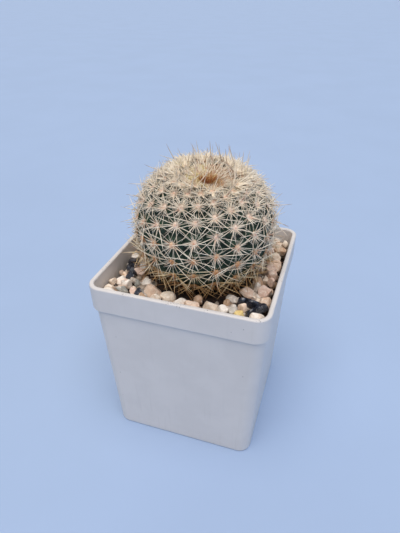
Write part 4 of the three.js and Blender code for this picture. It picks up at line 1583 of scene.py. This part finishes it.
def place_camera(scene):
    """Puts the camera where the pot's edges say that it stood"""
    a, e, roll = CAMERA_AZIMUTH, CAMERA_ELEVATION, CAMERA_ROLL
    back = Vector((math.sin(a) * math.cos(e), -math.cos(a) * math.cos(e), math.sin(e)))
    level = Vector((math.cos(a), math.sin(a), 0))
    upright = back.cross(level)
    right = level * math.cos(roll) + upright * math.sin(roll)
    up = upright * math.cos(roll) - level * math.sin(roll)
    data = bpy.data.cameras.new("camera")
    data.lens = CAMERA_LENS
    data.sensor_width = CAMERA_SENSOR
    data.clip_start = 0.01
    data.clip_end = 50
    camera = link_object("camera", data)
    place = Vector((0, 0, POT_HEIGHT)) + back * CAMERA_DISTANCE + right * CAMERA_RIGHT + up * CAMERA_UP
    turn = Matrix((right, up, back)).transposed().to_4x4()
    camera.matrix_world = Matrix.Translation(place * MM) @ turn
    scene.camera = camera


# Operators


class CACTUS_OT_pot(Operator):
    """Models the plastic pot with its collar, rim and drain holes"""

    bl_idname = "cactus.pot"
    bl_label = "Pot"

    def execute(self, context):
        material = plastic_finish(context.scene.cactus_pot)
        pot = write_piece(model_pot(), "white_pot", material, ["pot"])
        cut_away(pot, model_drills())
        finish_edges(pot, SHARP_ANGLE)
        return {"FINISHED"}


class CACTUS_OT_soil(Operator):
    """Models the soil with its root hole, and the crumbs and fibres that lie on it"""

    bl_idname = "cactus.soil"
    bl_label = "Soil"

    def execute(self, context):
        settings = context.scene.cactus_fill
        material = soil_finish(settings)
        soil = write_piece(model_soil(), "potting_soil", material, ["soil"])
        hole = model_root(GAP)
        bmesh.ops.transform(hole, matrix=PLANT, verts=hole.verts)
        cut_away(soil, hole)
        write_piece(model_crumbs(settings), "soil_crumbs", material, ["soil"])
        return {"FINISHED"}


class CACTUS_OT_gravel(Operator):
    """Models the pale stones and the grit between them"""

    bl_idname = "cactus.gravel"
    bl_label = "Pale gravel"

    def execute(self, context):
        settings = context.scene.cactus_fill
        material = pale_stone_finish()
        bm = bmesh.new()
        for stone in lay_stones()[0]:
            add_stone(bm, stone, **PALE_GRIND)
        shade_smooth(bm)
        write_piece(bm, "pale_stones", material, ["gravel_pale"])
        grit = model_grit(settings)
        write_piece(grit, "grit", material, ["gravel_pale"])
        return {"FINISHED"}


class CACTUS_OT_dark_stones(Operator):
    """Models the glassy black stones, one piece for each cluster"""

    bl_idname = "cactus.dark_stones"
    bl_label = "Dark stones"

    def execute(self, context):
        material = dark_stone_finish(context.scene.cactus_fill)
        for place, stones in lay_stones()[1].items():
            bm = bmesh.new()
            for stone in stones:
                add_stone(bm, stone, **DARK_GRIND)
            shade_smooth(bm, DARK_STONE_SHARPNESS)
            write_piece(bm, f"dark_stones_{place}", material, [f"gravel_dark_{place}"])
        return {"FINISHED"}


class CACTUS_OT_stem(Operator):
    """Models the green stem and its root"""

    bl_idname = "cactus.stem"
    bl_label = "Stem"

    def execute(self, context):
        material = flesh_finish(context.scene.cactus_plant)
        areoles = place_areoles()
        write_piece(model_flesh(areoles), "green_stem", material, ["stem"], PLANT)
        root = model_root()
        base = layer_of(root, "base")
        for vert in root.verts:
            vert[base] = 1
        shade_smooth(root)
        write_piece(root, "root", material, ["stem"], PLANT)
        return {"FINISHED"}


class CACTUS_OT_spines(Operator):
    """Models the felt and the spines of every areole below the crown"""

    bl_idname = "cactus.spines"
    bl_label = "Spines"

    def execute(self, context):
        settings = context.scene.cactus_plant
        areoles = areoles_between(CROWN_REACH, math.inf)
        pale, dark = lay_stones()
        stones = pale + [stone for cluster in dark.values() for stone in cluster]
        material = spine_finish(settings)
        kinds = {
            "radial_spines": model_radials, "star_spines": model_stars, "central_spines": model_centrals,
        }
        for name, model in kinds.items():
            spines = model(areoles, stones, settings)
            write_piece(spines, name, material, ["stem"], PLANT)
        write_piece(model_felts(areoles), "areole_felts", felt_finish(), ["stem"], PLANT)
        return {"FINISHED"}


class CACTUS_OT_crown(Operator):
    """Models the wool and the young spines over the growing tip"""

    bl_idname = "cactus.crown"
    bl_label = "Crown"

    def execute(self, context):
        settings = context.scene.cactus_plant
        write_piece(model_wool(), "crown_wool", wool_finish(settings), ["crown"], PLANT)
        material = spine_finish(settings)
        crown_spines = model_crown_spines(areoles_between(0, CROWN_REACH))
        write_piece(crown_spines, "crown_spines", material, ["crown"], PLANT)
        return {"FINISHED"}


class CACTUS_OT_stage(Operator):
    """Lays the floor and sets the soft lights, the room's even light and the camera"""

    bl_idname = "cactus.stage"
    bl_label = "Stage"

    def execute(self, context):
        settings = context.scene.cactus_stage
        lay_floor(settings)
        for name, colour, turn, height, softness in SUNS:
            sun = bpy.data.lights.new(name, "SUN")
            sun.energy = getattr(settings, name)
            sun.color = colour
            sun.angle = softness
            lamp = link_object(name, sun)
            lamp.location = (0, 0, 1)
            lamp.rotation_euler = (math.pi / 2 - height, 0, turn)
        world = bpy.data.worlds.new("room_light")
        world.use_nodes = True
        room = world.node_tree.nodes["Background"]
        room.inputs["Color"].default_value = (*ROOM_COLOUR, 1)
        room.inputs["Strength"].default_value = settings.room_light
        context.scene.world = world
        context.scene.view_settings.view_transform = "Standard"
        place_camera(context.scene)
        return {"FINISHED"}


class CACTUS_PT_panel(Panel):
    """Lists the pieces and their settings"""

    bl_idname = "CACTUS_PT_panel"
    bl_label = "Potted cactus"
    bl_space_type = "VIEW_3D"
    bl_region_type = "UI"
    bl_category = "Cactus"

    def draw(self, context):
        for name, (group, operators) in SECTIONS.items():
            box = self.layout.box()
            settings = getattr(context.scene, name)
            for setting in group.__annotations__:
                box.prop(settings, setting)
            for operator in operators:
                box.operator(operator.bl_idname)


SECTIONS = {
    "cactus_pot": (PotSettings, (CACTUS_OT_pot,)),
    "cactus_fill": (FillSettings, (CACTUS_OT_soil, CACTUS_OT_gravel, CACTUS_OT_dark_stones)),
    "cactus_plant": (PlantSettings, (CACTUS_OT_stem, CACTUS_OT_spines, CACTUS_OT_crown)),
    "cactus_stage": (StageSettings, (CACTUS_OT_stage,)),
}


def register():
    for name, (group, operators) in SECTIONS.items():
        bpy.utils.register_class(group)
        setattr(bpy.types.Scene, name, PointerProperty(type=group))
        for operator in operators:
            bpy.utils.register_class(operator)
    bpy.utils.register_class(CACTUS_PT_panel)


def unregister():
    bpy.utils.unregister_class(CACTUS_PT_panel)
    for name, (group, operators) in reversed(SECTIONS.items()):
        for operator in operators:
            bpy.utils.unregister_class(operator)
        delattr(bpy.types.Scene, name)
        bpy.utils.unregister_class(group)


def main():
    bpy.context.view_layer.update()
    register()
    bpy.ops.cactus.pot()
    bpy.ops.cactus.soil()
    bpy.ops.cactus.gravel()
    bpy.ops.cactus.dark_stones()
    bpy.ops.cactus.stem()
    bpy.ops.cactus.spines()
    bpy.ops.cactus.crown()
    bpy.ops.cactus.stage()


if __name__ == "__main__":
    main()
